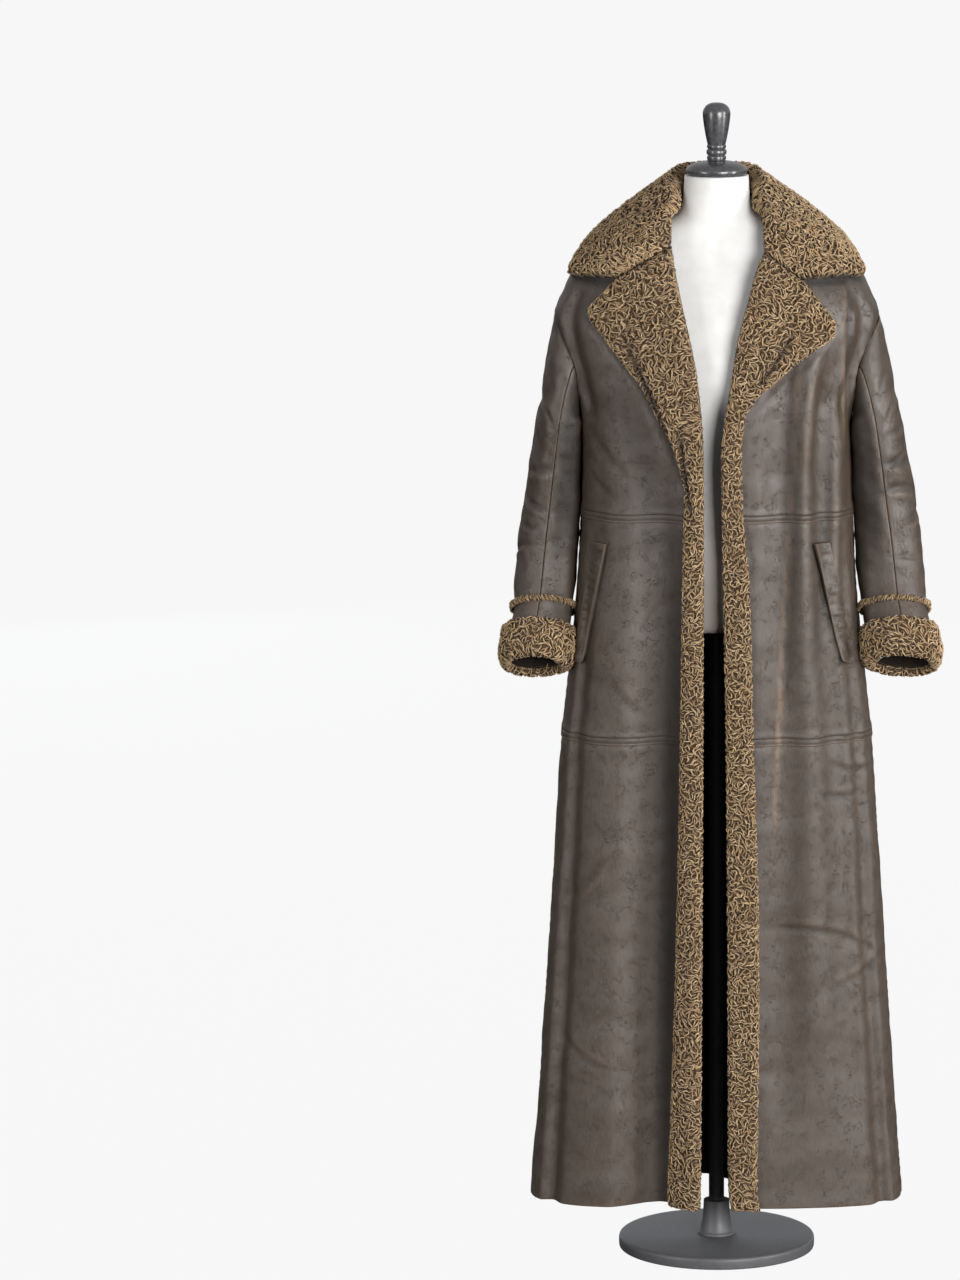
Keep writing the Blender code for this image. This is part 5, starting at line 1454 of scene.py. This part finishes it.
def lapel_place(side, across, along):
    """Where round the coat, and at which level, a place on the lapel lies: straight across from its
    roll line to its free edge, with the top rows bent to the gorge line."""
    table = LAPEL[side]
    roll_x, roll_z = read(table, "roll_x", along), read(table, "roll_z", along)
    edge_x, edge_z = read(table, "edge_x", along), read(table, "edge_z", along)
    x, level = mix(roll_x, edge_x, across), mix(roll_z, edge_z, across)
    notch, gorge = NOTCH_SHARE[side], GORGE[side]
    at = mix(GORGE_CORNER, 1, np.minimum(1, across / notch))
    top_x, top_z = read_straight(gorge, "x", at), read_straight(gorge, "level", at) - GORGE_GAP
    rest = np.maximum(0, (across - notch) / (1 - notch))
    top_x, top_z = mix(top_x, table[0].edge_x, rest), mix(top_z, table[0].edge_z, rest)
    bend = 1 - ease(along / GORGE_FADE)
    x = x + (top_x - mix(table[0].roll_x, table[0].edge_x, across)) * bend
    level = level + (top_z - mix(table[0].roll_z, table[0].edge_z, across)) * bend
    return around_at(side, x, level), level


def band_place(side, across, level):
    """Where round the coat a place on the pile band along its front edge lies."""
    column = WORDS[side]
    edge = read(FRONT_EDGE, column, level)
    return around_at(side, edge + read(BAND_WIDTH, column, level) * across, level)


def facing_place(side, across, row, rows):
    """Around and level on a lapel and its band: rows up the band first, then up the lapel."""
    band_rows = rows[0]
    in_band = row <= band_rows
    level = mix(HEM - 0.003, LAPEL_BOTTOM[side], np.minimum(row / band_rows, 1))
    band = band_place(side, across, level)
    lapel, lapel_level = lapel_place(side, across, 1 - np.maximum(0, row - band_rows) / rows[1])
    return np.where(in_band, band, lapel), np.where(in_band, level, lapel_level)


def end_round(distance, radius):
    """Share of the full height near a rounded end: a quarter circle."""
    q = 1 - clamp(distance / radius)
    return np.sqrt(np.maximum(1 - q * q, 0.004))


def furrow(points, lines):
    """How deep each point lies in a furrow of the pile, 0 to 1: exp(-d^2) of its distance from the
    line in widths, which fades at both ends."""
    deepest = np.zeros(points.shape[:2])
    for x, z, to_x, to_z, width in lines:
        chord = np.array([to_x - x, to_z - z])
        length = math.hypot(*chord)
        off_x, off_z = points[..., 0] - x, points[..., 2] - z
        t = (off_x * chord[0] + off_z * chord[1]) / length**2
        d = (off_z * chord[0] - off_x * chord[1]) / length / width
        deepest = np.maximum(deepest, np.exp(-(d**2)) * np.sin(np.pi * clamp(t)) ** 0.5)
    return deepest


def facing(side, word, look):
    """A lapel and its front band in one turned-back piece."""
    rows = (260 if side == RIGHT else 290, 90 if side == RIGHT else 72)
    row = np.arange(rows[0] + rows[1] + 1, dtype=float)[:, None]
    ends = np.array([0.0, 1.0])[None, :]
    edges = coat_point(*facing_place(side, ends + 0 * row, row + 0 * ends, rows))
    width = np.linalg.norm(edges[:, 1] - edges[:, 0], axis=1)[:, None]
    middle = edges.mean(axis=1)
    step = travelled(middle)
    tall = from_ends(step)
    radius = PILE * end_round(tall, PILE)
    share = np.linspace(0, 1, 30)[None, :]
    across, heights = pad_section(width, radius, share)
    around, level = facing_place(side, across / width, row + 0 * share, rows)
    out = coat_normal(around, level)
    under = coat_point(around, level) + out * LAPEL_LIFT
    shade = furrow(under, LAPEL_FURROWS[side])
    # Painted shade along the lapel's top, at the gorge.
    shade = np.maximum(shade, 0.8 * bell(step[-1] - step, 0.0045)[:, None] + 0 * across)
    name = f"lapel_and_band_{word}"
    return pile_piece(name, [name], under, out, heights * (1 - 0.45 * shade), 0.78, look,
                      100 + side, shade=shade)


def collar_neck(side, along):
    """Where round the coat, and at which level, the collar is sewn on."""
    meet = GORGE[side][0]
    miss = abs(float(around_at(side, meet.x, meet.level))) - COLLAR_ROLL[-1].neck_around
    behind = side * (read(COLLAR_ROLL, "neck_around", along) + miss * ease(along / GORGE_FROM * 2 - 1))
    level = read_straight(GORGE[side], "level", along)
    ahead = around_at(side, read_straight(GORGE[side], "x", along), level)
    at_back = along < GORGE_FROM
    return np.where(at_back, behind, ahead), np.where(at_back, NECK_SEAM, level)


def collar_surface(side, along, across):
    """The collar's under face: up from the neck seam, over the roll, and down a bulging curve to the
    outer edge. Towards the front it comes to lie on the coat."""
    along, across = np.broadcast_arrays(np.asarray(along, float), np.asarray(across, float))
    neck_around, neck_level = collar_neck(side, along)
    edge_around, edge_level = side * read(COLLAR_EDGE, "around", along), read(COLLAR_EDGE, "level", along)
    neck = coat_point(neck_around, neck_level) + np.array([0, 0, COLLAR_GAP])
    roll = stacked(*(turn * read(COLLAR_ROLL, axis, along) for turn, axis in ((side, "x"), (1, "y"), (1, "z"))))
    low_roll = neck + np.array([-0.2 * side, 0.1, 1]) * FRONT_ROLL
    roll = mix(roll, low_roll, ease((along - LOW_ROLL_FROM) / (GORGE_FROM - LOW_ROLL_FROM))[..., None])
    edge = coat_point(edge_around, edge_level) + coat_normal(edge_around, edge_level) * COLLAR_LIFT
    rising = mix(neck, roll, np.sin(clamp(across / COLLAR_STAND_SHARE) * np.pi / 2)[..., None])
    t = clamp((across - COLLAR_STAND_SHARE) / (1 - COLLAR_STAND_SHARE))[..., None]
    out = unit(roll * np.array([1, 1, 0]))
    drop, reach = (roll - edge)[..., 2:], np.linalg.norm((edge - roll)[..., :2], axis=-1, keepdims=True)
    bulge = unit(out * drop + np.array([0, 0, 1]) * reach) * COLLAR_BULGE
    middle = (roll + edge) / 2 + bulge
    falling = roll * (1 - t) ** 2 + middle * 2 * t * (1 - t) + edge * t * t
    free = np.where((across < COLLAR_STAND_SHARE)[..., None], rising, falling)
    around, level = mix(neck_around, edge_around, across), mix(neck_level, edge_level, across)
    lift = COLLAR_UNDER_LIFT + (COLLAR_LIFT - COLLAR_UNDER_LIFT) * across + 0.006 * np.sin(np.pi * across)
    lying = coat_point(around, level) + coat_normal(around, level) * lift[..., None]
    return mix(free, lying, ease((along - COLLAR_LIES_FROM) / (COLLAR_LIES_TO - COLLAR_LIES_FROM))[..., None])


def collar(look):
    """The wide turned-down collar, from its right front end round the back to its left one."""
    count = 150
    place = np.linspace(-1, 1, 2 * count + 1)[:, None]
    share = np.linspace(0, 1, 46)[None, :]
    across, heights = pad_section(COLLAR_WIDTH, PILE, share)
    across = np.broadcast_to(across / COLLAR_WIDTH, (place.shape[0], share.shape[1]))
    halves = [collar_surface(side, np.abs(place[rows]) + 0 * across[rows], across[rows])
              for side, rows in ((RIGHT, slice(0, count)), (LEFT, slice(count, None)))]
    under = np.concatenate(halves)
    out = grid_normals(under)
    middle = under[:, under.shape[1] // 2]
    step = travelled(middle)
    tall = from_ends(step)
    thin = mix(CLOTH / PILE, 1, ease(across / COLLAR_STAND_SHARE))
    heights = heights * thin * end_round(tall, PILE)
    if out[count, 30, 1] < 0:
        out = -out
    # Painted shade at the collar's two front ends, at the gorge.
    return pile_piece("collar", ["collar"], under, out, heights, 0.78, look, 300,
                      split=[(0, count + 1), (count, 2 * count + 1)], leather_under=True,
                      shade=0.8 * bell(tall, 0.0045) + 0 * across)


def ring_piece(name, side, start, end, half_thickness, look, flat, seed, inward=0.0, reach=0.0022, pitch=None,
               long=None, thick=None, lean=None):
    """A pile ring round a sleeve: a closed rounded section carried round it. Below the leather's cut
    edge its inner side comes inward, so that the pile fills the opening's rim."""
    turn = np.linspace(0, 1, 97)[:-1][:, None]
    section = np.linspace(0, 1, 49)[:-1][None, :]
    up, out = rounded_box(section * 2 * np.pi, 2.1)
    along = mix(start, end, (1 - up) / 2)
    turn, along = np.broadcast_arrays(turn, along)
    hook = inward * ease((along - SLEEVE_END - 0.001) / 0.008) * (1 - out) / 2
    lift = RING_LIFT + half_thickness * (1 + out) - hook
    full = sleeve_point(side, turn, along) + sleeve_normal(side, turn, along) * lift[..., None]
    uneven = (0.0010 * ripple(full, 0.03, seed + 6))[..., None] * (out > -0.5)[..., None]
    full = full + sleeve_normal(side, turn, along) * uneven
    outward = grid_normals(full, True, True)
    if (outward * (full - full.mean(axis=1, keepdims=True))).sum() < 0:
        outward = -outward
    ground = full - outward * reach * 0.8
    piece = loft(f"{name}_ground", ground, [material("pile_ground")], ring=True, shade=np.zeros(ground.shape[:2]))
    pitch, long, thick = pitch or look.pitch, long or look.curl_length, thick or look.curl_width
    locks = curls(
        f"{name}_curls", ground, outward, pitch, long, thick, reach, material("curly_acrylic_pile"), seed, True, True,
        skip=lambda u, v: (np.cos(u * 2 * np.pi) < -0.7) & (np.sin(u * 2 * np.pi) > (-0.6 if inward else -9)),
        lean=lean,
    )
    cut = half_surface(piece)
    flat = (max(flat[0], cut / flat[1] + 0.001), flat[1])
    return finished(piece, [name])


def strip_piece(name, around, level, width, look, seed):
    """A ragged raw edge of pile along a seam of the back: around and level are its middle line."""
    share = np.linspace(0, 1, 12)[None, :]
    along = coat_point(around, level)
    step = travelled(along)
    tall = from_ends(step)
    ragged = 0.86 + (0.22 * ripple(along, 0.024, seed + 3) + 0.16 * ripple(along, 0.009, seed + 5))[:, None]
    wide = width[:, None] * ragged
    across, heights = pad_section(wide, TRIM_PROUD * 0.9 * end_round(tall, 0.004), share)
    out = coat_normal(around, level)
    ahead = unit(np.gradient(along, axis=0))
    aside = unit(np.cross(out, ahead))
    under = along[:, None] + aside[:, None] * (across - wide / 2)[..., None] + out[:, None] * TRIM_LIFT
    outs = np.broadcast_to(out[:, None], under.shape)
    return pile_piece(name, [name], under, outs, heights, 0.6, look, seed,
                      pitch=0.0030, long=0.0080, thick=0.0018, shade=0.42 + 0 * heights)


# ------------------------------------------------------------------------------------- the stand


def smoothed(profile, passes=2):
    """A profile with its corners cut to quarters, pass by pass; a point given twice stays sharp."""
    points = np.array(profile, float)
    for _ in range(passes):
        first, last = points[:-1], points[1:]
        cut = np.stack([mix(first, last, 0.25), mix(first, last, 0.75)], axis=1).reshape(-1, 2)
        points = np.concatenate([points[:1], cut, points[-1:]])
    return points


def turned(name, profile, look, slot, steps):
    """A solid turned about Z: each profile point (radius, height) carried round a circle."""
    points = smoothed(profile)[1:-1]
    angle = np.linspace(0, 2 * np.pi, steps + 1)[:-1][None, :]
    radius, height = points[:, :1], points[:, 1:]
    loops = stacked(radius * np.cos(angle), radius * np.sin(angle), height + 0 * angle)
    piece = loft(f"{name}_turned", loops, [material(look)])
    return finished(piece, [name])


# ---------------------------------------------------------------------------------- settings


def tint(name, description, code):
    """A colour setting."""
    return FloatVectorProperty(name=name, description=description, subtype="COLOR", size=3,
                               default=linear(code)[:3], min=0, max=1)


def length(name, description, default, low, high):
    """A length setting."""
    return FloatProperty(name=name, description=description, subtype="DISTANCE", unit="LENGTH", default=default,
                         min=low, max=high)


class CoatLeather(bpy.types.PropertyGroup):
    """The leather panels."""

    colour: tint("Colour", "Main tone", "#4f4034")
    shade: tint("Shade", "Darker clouds", "#3a2e23")
    worn: tint("Worn", "Rubbed edges and ridges", "#a5876a")
    roughness: FloatProperty(name="Roughness", description="Satin shine", default=0.35, min=0.1, max=0.9)
    duller: FloatProperty(name="Skirt dulling", description="Roughness added on the skirt", default=0.15, min=0,
                          max=0.5)
    grain: FloatProperty(name="Grain", description="Size of a grain pebble in millimetres", default=3.0, min=0.5, max=8)
    crease: FloatProperty(name="Creases", description="Depth of the creases", subtype="FACTOR", default=1.0, min=0,
                          max=2)


class CoatPile(bpy.types.PropertyGroup):
    """The curly pile."""

    colour: tint("Colour", "Main tone of the locks", "#c39b6c")
    tip: tint("Tips", "Palest locks", "#f6d5a4")
    # The root colour is painted shade: the lower sides and ends of the locks and the valleys of the ground.
    root: tint("Roots", "Between the locks", "#20140a")
    curl_length: length("Lock length", "Length of a lock", 0.0140, 0.003, 0.04)
    curl_width: length("Lock width", "Thickness of a lock", 0.0033, 0.0005, 0.01)
    pitch: length("Pitch", "Distance between locks", 0.0054, 0.002, 0.02)


class CoatForm(bpy.types.PropertyGroup):
    """The dress form and its stand."""

    cover: tint("Cover", "Jersey cover", "#f6f5f3")
    steps: IntProperty(name="Steps", description="Facets round a turned piece", default=72, min=24, max=256)


class CoatStage(bpy.types.PropertyGroup):
    """Floor, lights and camera."""

    floor: tint("Floor", "Floor colour", "#080809")
    key: FloatProperty(name="Key light", description="Power of the key light", unit="POWER", default=320.0, min=0)
    sky: FloatProperty(name="Surround", description="Strength of the light from the pale surround", default=0.25, min=0)
    glow: FloatProperty(name="Floor glow", description="Whiteness that the floor shows", default=0.93, min=0)


# --------------------------------------------------------------------------------- operators


class COAT_OT_body(bpy.types.Operator):
    """Makes the fronts, backs and yoke as thin leather shells."""

    bl_idname = "coat.body"
    bl_label = "Body panels"

    def execute(self, context):
        strength = context.scene.coat_leather.crease
        arm = ((ARMPIT, ARM_TOP),)
        knee_edge, waist_edge = KNEE_SEAM - LAP, WAIST_SEAM - LAP
        gap = SEAM_GAP / 2
        for side, word in WORDS.items():
            for part, first, last in (
                ("front", lambda at, s=side: front_edge(s, at), lambda at, s=side: side_edge(s, False, at)),
                ("back", lambda at, s=side: side_edge(s, True, at), lambda at, s=side: centre_back(s, at)),
            ):
                top = NECK_SEAM if part == "front" else YOKE_SEAM - gap
                knee, waist = knee_edge + LAP_UNDER, waist_edge + LAP_UNDER
                body_panel(f"{part}_lower_{word}", first, last, HEM, knee, False, True, (), strength)
                body_panel(f"{part}_middle_{word}", first, last, knee_edge, waist, True, True, (), strength)
                body_panel(f"{part}_upper_{word}", first, last, waist_edge, top, True, False, arm, strength)
        body_panel(
            "back_yoke",
            lambda at: side_edge(LEFT, True, at),
            lambda at: 2 + side_edge(RIGHT, True, at),
            YOKE_SEAM + gap, NECK_SEAM - gap, False, False, (), strength,
        )
        return {"FINISHED"}


class COAT_OT_sleeves(bpy.types.Operator):
    """Makes the two-piece sleeves and their cuff bands."""

    bl_idname = "coat.sleeves"
    bl_label = "Sleeves"

    def execute(self, context):
        strength = context.scene.coat_leather.crease
        for side, word in WORDS.items():
            for piece, first, last in (("top", -0.25, 0.25), ("under", 0.25, 0.75)):
                sleeve_panel(f"{piece}_sleeve_{word}", side, first, last, 0, CUFF_SEAM, strength)
                start = CUFF_SEAM + 0.0005
                sleeve_panel(f"{piece}_cuff_band_{word}", side, first, last, start, SLEEVE_END, strength)
        return {"FINISHED"}


class COAT_OT_welts(bpy.types.Operator):
    """Makes the slanted pocket welts."""

    bl_idname = "coat.welts"
    bl_label = "Pocket welts"

    def execute(self, context):
        for welt in WELTS:
            word = WORDS[welt.side]
            name = f"pocket_welt_{word}"
            height = welt.top - welt.bottom
            v = spread(height, 0.004)[0][:, None] / height
            width = mix(welt.bottom_outer - welt.bottom_inner, welt.top_outer - welt.top_inner, v) * 1.15
            places = spread(width[:, 0], 0.003)
            u = places / width
            rounding = np.sqrt(1 - (1 - clamp(v * height / WELT_CORNER)) ** 2)
            across = 0.5 + (u - 0.5) * np.maximum(rounding, 0.3)
            x = welt_x(welt, across, v)
            level = mix(welt.bottom, welt.top, v) + 0 * u
            around = around_at(welt.side, x, level)
            face, out = coat_point(around, level), coat_normal(around, level)
            low, high = v * height + 0 * u, (1 - v) * height + 0 * u
            nearest = np.minimum(np.minimum(places, width - places), np.minimum(low, high))
            open_side = 1 - places / width
            lift = WELT + 0.0032 * open_side + 0.0006 - edge_roll(nearest, 0.0022)
            lift = lift - 0.0008 * bell(nearest - WELT_DENT, 0.0009)
            lift = lift + 0.0013 * ripple(face * np.array([0.5, 1, 1.9]), 0.024, 21) * ease((nearest - 0.002) / 0.004)
            worn = 0.35 * bell(nearest - 0.0012, 0.0012)
            # Painted shade in the stitch dent and along the edges of the welt.
            trough = np.maximum(0.8 * bell(nearest - WELT_DENT, 0.0009), bell(nearest, 0.0007))
            outer, inner = face + out * lift[..., None], face + out * 0.0006
            looks = [material("pressed_faux_leather")] * 2
            piece = leather_shell(f"{name}_leather", outer, inner, looks, worn=worn, trough=trough)
            cut = half_surface(piece)
            finished(piece, [name])
        return {"FINISHED"}


class COAT_OT_facings(bpy.types.Operator):
    """Makes the lapels and front bands."""

    bl_idname = "coat.facings"
    bl_label = "Lapels and front bands"

    def execute(self, context):
        for side, word in WORDS.items():
            facing(side, word, context.scene.coat_pile)
        return {"FINISHED"}


class COAT_OT_collar(bpy.types.Operator):
    """Makes the collar."""

    bl_idname = "coat.collar"
    bl_label = "Collar"

    def execute(self, context):
        collar(context.scene.coat_pile)
        return {"FINISHED"}


class COAT_OT_cuffs(bpy.types.Operator):
    """Makes the turned-back cuffs and the thin pile trims above them."""

    bl_idname = "coat.cuffs"
    bl_label = "Cuffs"

    def execute(self, context):
        look = context.scene.coat_pile
        for side, word in WORDS.items():
            ring_piece(f"pile_cuff_{word}", side, CUFF_FROM, CUFF_TO, CUFF_HALF_THICKNESS, look, (0.09, 0.34),
                       400 + side, inward=0.013)
            start, end = CUFF_SEAM - TRIM_HALF_LENGTH, CUFF_SEAM + TRIM_HALF_LENGTH
            ring_piece(f"cuff_trim_{word}", side, start, end, TRIM_HALF_THICKNESS, look, (0.03, 0.33), 420 + side,
                       reach=0.0012, pitch=0.0030, long=0.0095, thick=0.0019, lean=0.65)
        return {"FINISHED"}


class COAT_OT_back_trims(bpy.types.Operator):
    """Makes the raw pile edges along the yoke and centre back seams."""

    bl_idname = "coat.back_trims"
    bl_label = "Back trims"

    def execute(self, context):
        look = context.scene.coat_pile
        around = np.linspace(YOKE_TRIM_FROM, 2 - YOKE_TRIM_FROM, 220)
        end = np.minimum(around, 2 - around) - YOKE_TRIM_FROM
        level = YOKE_SEAM - 0.0015 + 0.0014 * np.sin(around * 61) + 0.0011 * np.sin(around * 149)
        level = level - 0.006 * (1 - ease(end / 0.03))
        strip_piece("yoke_trim", around, level, YOKE_TRIM_WIDTH + 0 * around, look, 500)
        level = np.linspace(CENTRE_TRIM_BOTTOM, CENTRE_TRIM_TOP, 320)
        width = np.interp(level, [0.4, 1.45], [0.0085, 0.0118])
        strip_piece("centre_back_trim", centre_back(LEFT, level), level, width, look, 520)
        return {"FINISHED"}


class COAT_OT_stitches(bpy.types.Operator):
    """Sews the lapped seams and the pocket welts with short stitches."""

    bl_idname = "coat.stitches"
    bl_label = "Stitches"

    def execute(self, context):
        paths, outs = [], []

        def sew(points, normals, spacing=0.0042, share=0.68, lift=0.0001):
            step = travelled(points)
            count = int(step[-1] / spacing)
            at = (np.arange(count)[:, None] + np.linspace(0, share, 4)[None, :]) * spacing
            place = np.stack([np.interp(at, step, points[:, k]) for k in range(3)], axis=-1)
            out = unit(np.stack([np.interp(at, step, normals[:, k]) for k in range(3)], axis=-1))
            sag = np.array([-0.0006, 0.0003, 0.0003, -0.0006])[None, :, None]
            paths.append(place + out * (lift + sag))
            outs.append(out)

        for seam in (KNEE_SEAM, WAIST_SEAM):
            for side in (RIGHT, LEFT):
                for offset in SEAM_STITCHES:
                    start = abs(float(front_edge(side, np.array(seam)))) + 0.01
                    around = side * np.linspace(start, 1, 1500)
                    level = np.full(around.shape, seam + offset)
                    out = coat_normal(around, level)
                    face = coat_point(around, level)
                    to_seam = np.minimum(np.abs(np.abs(around) - SIDE_SEAM), 1 - np.abs(around)) / 2
                    relief = body_creases(face, context.scene.coat_leather.crease)[0] * ease((to_seam - 0.001) / 0.02)
                    sew(face + out * (relief + LAP_RAISE - 0.0007)[:, None], out)
        for welt in WELTS:
            v = np.linspace(0.015, 0.985, 200)
            for u in WELT_STITCHES:
                x = welt_x(welt, u, v)
                level = mix(welt.bottom, welt.top, v)
                around = around_at(welt.side, x, level)
                out = coat_normal(around, level)
                sew(coat_point(around, level) + out * (WELT + 0.0003), out, 0.0036)
        paths, outs = np.concatenate(paths), np.concatenate(outs)
        radii = np.broadcast_to(np.array([0, THREAD_RADIUS, THREAD_RADIUS, 0])[None, :], paths.shape[:2])
        points, faces, _ = worms(paths, outs, radii, 4)
        piece = put_mesh("topstitching", points, np.zeros((0, 4), int), faces, [material("sewing_thread")])
        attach(piece, "root")
        return {"FINISHED"}


class COAT_OT_form(bpy.types.Operator):
    """Makes the padded torso under its stretched cover."""

    bl_idname = "coat.form"
    bl_label = "Torso"

    def execute(self, context):
        low, high = TORSO[0].height, TORSO[-1].height
        level = np.concatenate([np.full(4, low + 0.0003), np.linspace(low + 0.0006, high, 110), np.full(2, high)])
        inward = np.concatenate([[0.15, 0.6, 0.93, 0.985], np.ones(110), [0.97, 0.5]])
        around = np.linspace(-1, 1, 97)[:-1]
        grid, turn = level[:, None] + 0 * around[None, :], around[None, :] + 0 * level[:, None]
        face = section_point(TORSO, turn, grid)
        seam = COVER_SEAM - 0.006 * np.cos(np.pi * turn)
        groove = 0.0007 * bell(grid - seam, 0.0012)
        out = unit(face * np.array([1, 1, 0]))
        face = face - out * groove[..., None]
        face[..., :2] *= inward[:, None, None]
        piece = loft("form_torso", face, [material("cotton_jersey_cover")])
        finished(piece, ["torso"])
        return {"FINISHED"}


class COAT_OT_stand(bpy.types.Operator):
    """Makes the base disc, socket, pole, neck cap and finial."""

    bl_idname = "coat.stand"
    bl_label = "Stand"

    def execute(self, context):
        steps = context.scene.coat_form.steps
        steel, wood = ("powder_coated_steel", "black_metal"), ("lacquered_wood", "black_lacquer")

        def raised(profile, level):
            return [(radius, level + height) for radius, height in profile]

        lows = {name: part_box(name)[0].z for name in ("pole_socket", "pole", "neck_cap", "finial")}
        highs = {name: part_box(name)[1].z for name in ("base_disc", "pole_socket", "pole", "neck_cap", "finial")}
        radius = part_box("base_disc")[1].x
        top = highs["base_disc"]
        rim = [(radius * 0.9, top - 0.0002), (radius - 0.004, top - 0.0006), (radius - 0.0008, top - 0.0022),
               (radius, top - 0.006), (radius, 0.002), (radius - 0.0006, 0.0), (radius - 0.0006, 0.0)]
        turned("base_disc", [(0, top), (0, top), *rim, (0, 0), (0, 0)], *steel, steps)
        socket = raised(SOCKET_TOP, highs["pole_socket"]) + raised(SOCKET_FOOT, lows["pole_socket"])
        turned("pole_socket", socket, *steel, steps)
        foot, top = lows["pole"], highs["pole"]
        pole = float(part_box("pole")[1].x)
        side = [(pole, top), (pole, top), (pole, mix(foot, top, 0.5)), (pole, foot), (pole, foot)]
        turned("pole", [(0, top), (0, top), *side, (0, foot), (0, foot)], *steel, steps)
        turned("neck_cap", raised(CAP_TOP, highs["neck_cap"]) + raised(CAP_FOOT, lows["neck_cap"]), *wood, steps)
        turned("finial", raised(FINIAL, lows["finial"]), *wood, steps)
        return {"FINISHED"}


class COAT_OT_stage(bpy.types.Operator):
    """Lays the floor, hangs the lights and sets up the camera."""

    bl_idname = "coat.stage"
    bl_label = "Stage"

    def execute(self, context):
        scene, stage = context.scene, context.scene.coat_stage
        bpy.ops.mesh.primitive_plane_add(size=FLOOR_SIZE, location=(0, 0, -FLOOR_DROP))
        floor = context.object
        floor.name = "studio_floor"
        made = new_material("paper_floor")
        tree = made[1]
        colour = mixed(tree, noise(tree, 900, Detail=2.0), (*stage.floor, 1), "#070708")
        seen = add_node(tree, "ShaderNodeLightPath").outputs["Is Camera Ray"]
        paper = joined(made, colour, Roughness=0.9, Specular_IOR_Level=0.0, Emission_Color=linear("#ffffff"),
                       Emission_Strength=maths(tree, "MULTIPLY", seen, stage.glow))
        floor.data.materials.append(paper)
        world = bpy.data.worlds.new("pale_surround")
        world.use_nodes = True
        tree = world.node_tree
        back = tree.nodes["Background"]
        back.inputs["Color"].default_value = linear("#fbfbfc")
        path = add_node(tree, "ShaderNodeLightPath").outputs
        mirrored = remapped(tree, path["Is Glossy Ray"], 0, 1, stage.sky, stage.sky * 1.7)
        shown = maths(tree, "MAXIMUM", mirrored, maths(tree, "MULTIPLY", path["Is Camera Ray"], 1.05))
        tree.links.new(shown, back.inputs["Strength"])
        scene.world = world
        scene.view_settings.view_transform = "Standard"

        for lamp in LAMPS:
            data = bpy.data.lights.new(lamp.name, "AREA")
            data.shape, data.energy = "RECTANGLE", stage.key * lamp.power
            data.size, data.size_y = lamp.width, lamp.height
            data.color = WHITE_LAMP if lamp.shines else COOL_LAMP
            made = bpy.data.objects.new(lamp.name, data)
            scene.collection.objects.link(made)
            made.location = place = Vector((lamp.x, lamp.y, lamp.z))
            made.visible_glossy = lamp.shines
            made.rotation_euler = (Vector(LAMP_AIM) - place).to_track_quat("-Z", "Y").to_euler()
        data = bpy.data.cameras.new("photo_camera")
        data.sensor_width, data.lens = SENSOR, LENS
        data.clip_start, data.clip_end = 0.1, 200
        camera = bpy.data.objects.new("photo_camera", data)
        scene.collection.objects.link(camera)
        pitch, yaw, roll = (math.radians(turn) for turn in (90 - CAMERA_DOWN, CAMERA_YAW, CAMERA_ROLL))
        turn = Matrix.Rotation(yaw, 4, "Z") @ Matrix.Rotation(pitch, 4, "X") @ Matrix.Rotation(roll, 4, "Z")
        camera.matrix_world = Matrix.Translation(CAMERA_PLACE) @ turn
        scene.camera = camera
        return {"FINISHED"}


class COAT_PT_panel(bpy.types.Panel):
    """Lists the pieces in the 3D view's sidebar."""

    bl_idname = "COAT_PT_panel"
    bl_label = "Shearling coat"
    bl_space_type = "VIEW_3D"
    bl_region_type = "UI"
    bl_category = "Coat"

    def draw(self, context):
        for operator in OPERATORS:
            self.layout.operator(operator.bl_idname)
        for group in ("coat_leather", "coat_pile", "coat_form", "coat_stage"):
            settings = getattr(context.scene, group)
            for key in settings.__annotations__:
                self.layout.prop(settings, key)


GROUPS = {"coat_leather": CoatLeather, "coat_pile": CoatPile, "coat_form": CoatForm, "coat_stage": CoatStage}
OPERATORS = (
    COAT_OT_stage, COAT_OT_form, COAT_OT_stand, COAT_OT_body, COAT_OT_sleeves, COAT_OT_welts, COAT_OT_facings,
    COAT_OT_collar, COAT_OT_cuffs, COAT_OT_back_trims, COAT_OT_stitches,
)


def register():
    """Registers the settings, operators and panel."""
    for group in (*GROUPS.values(), *OPERATORS, COAT_PT_panel):
        bpy.utils.register_class(group)
    for name, group in GROUPS.items():
        setattr(bpy.types.Scene, name, PointerProperty(type=group))


def unregister():
    """Takes them away again."""
    for name in GROUPS:
        delattr(bpy.types.Scene, name)
    for group in (COAT_PT_panel, *reversed(OPERATORS), *reversed(GROUPS.values())):
        bpy.utils.unregister_class(group)


def main():
    """Builds every piece in order."""
    register()
    for operator in OPERATORS:
        space, name = operator.bl_idname.split(".")
        getattr(getattr(bpy.ops, space), name)()


if __name__ == "__main__":
    main()
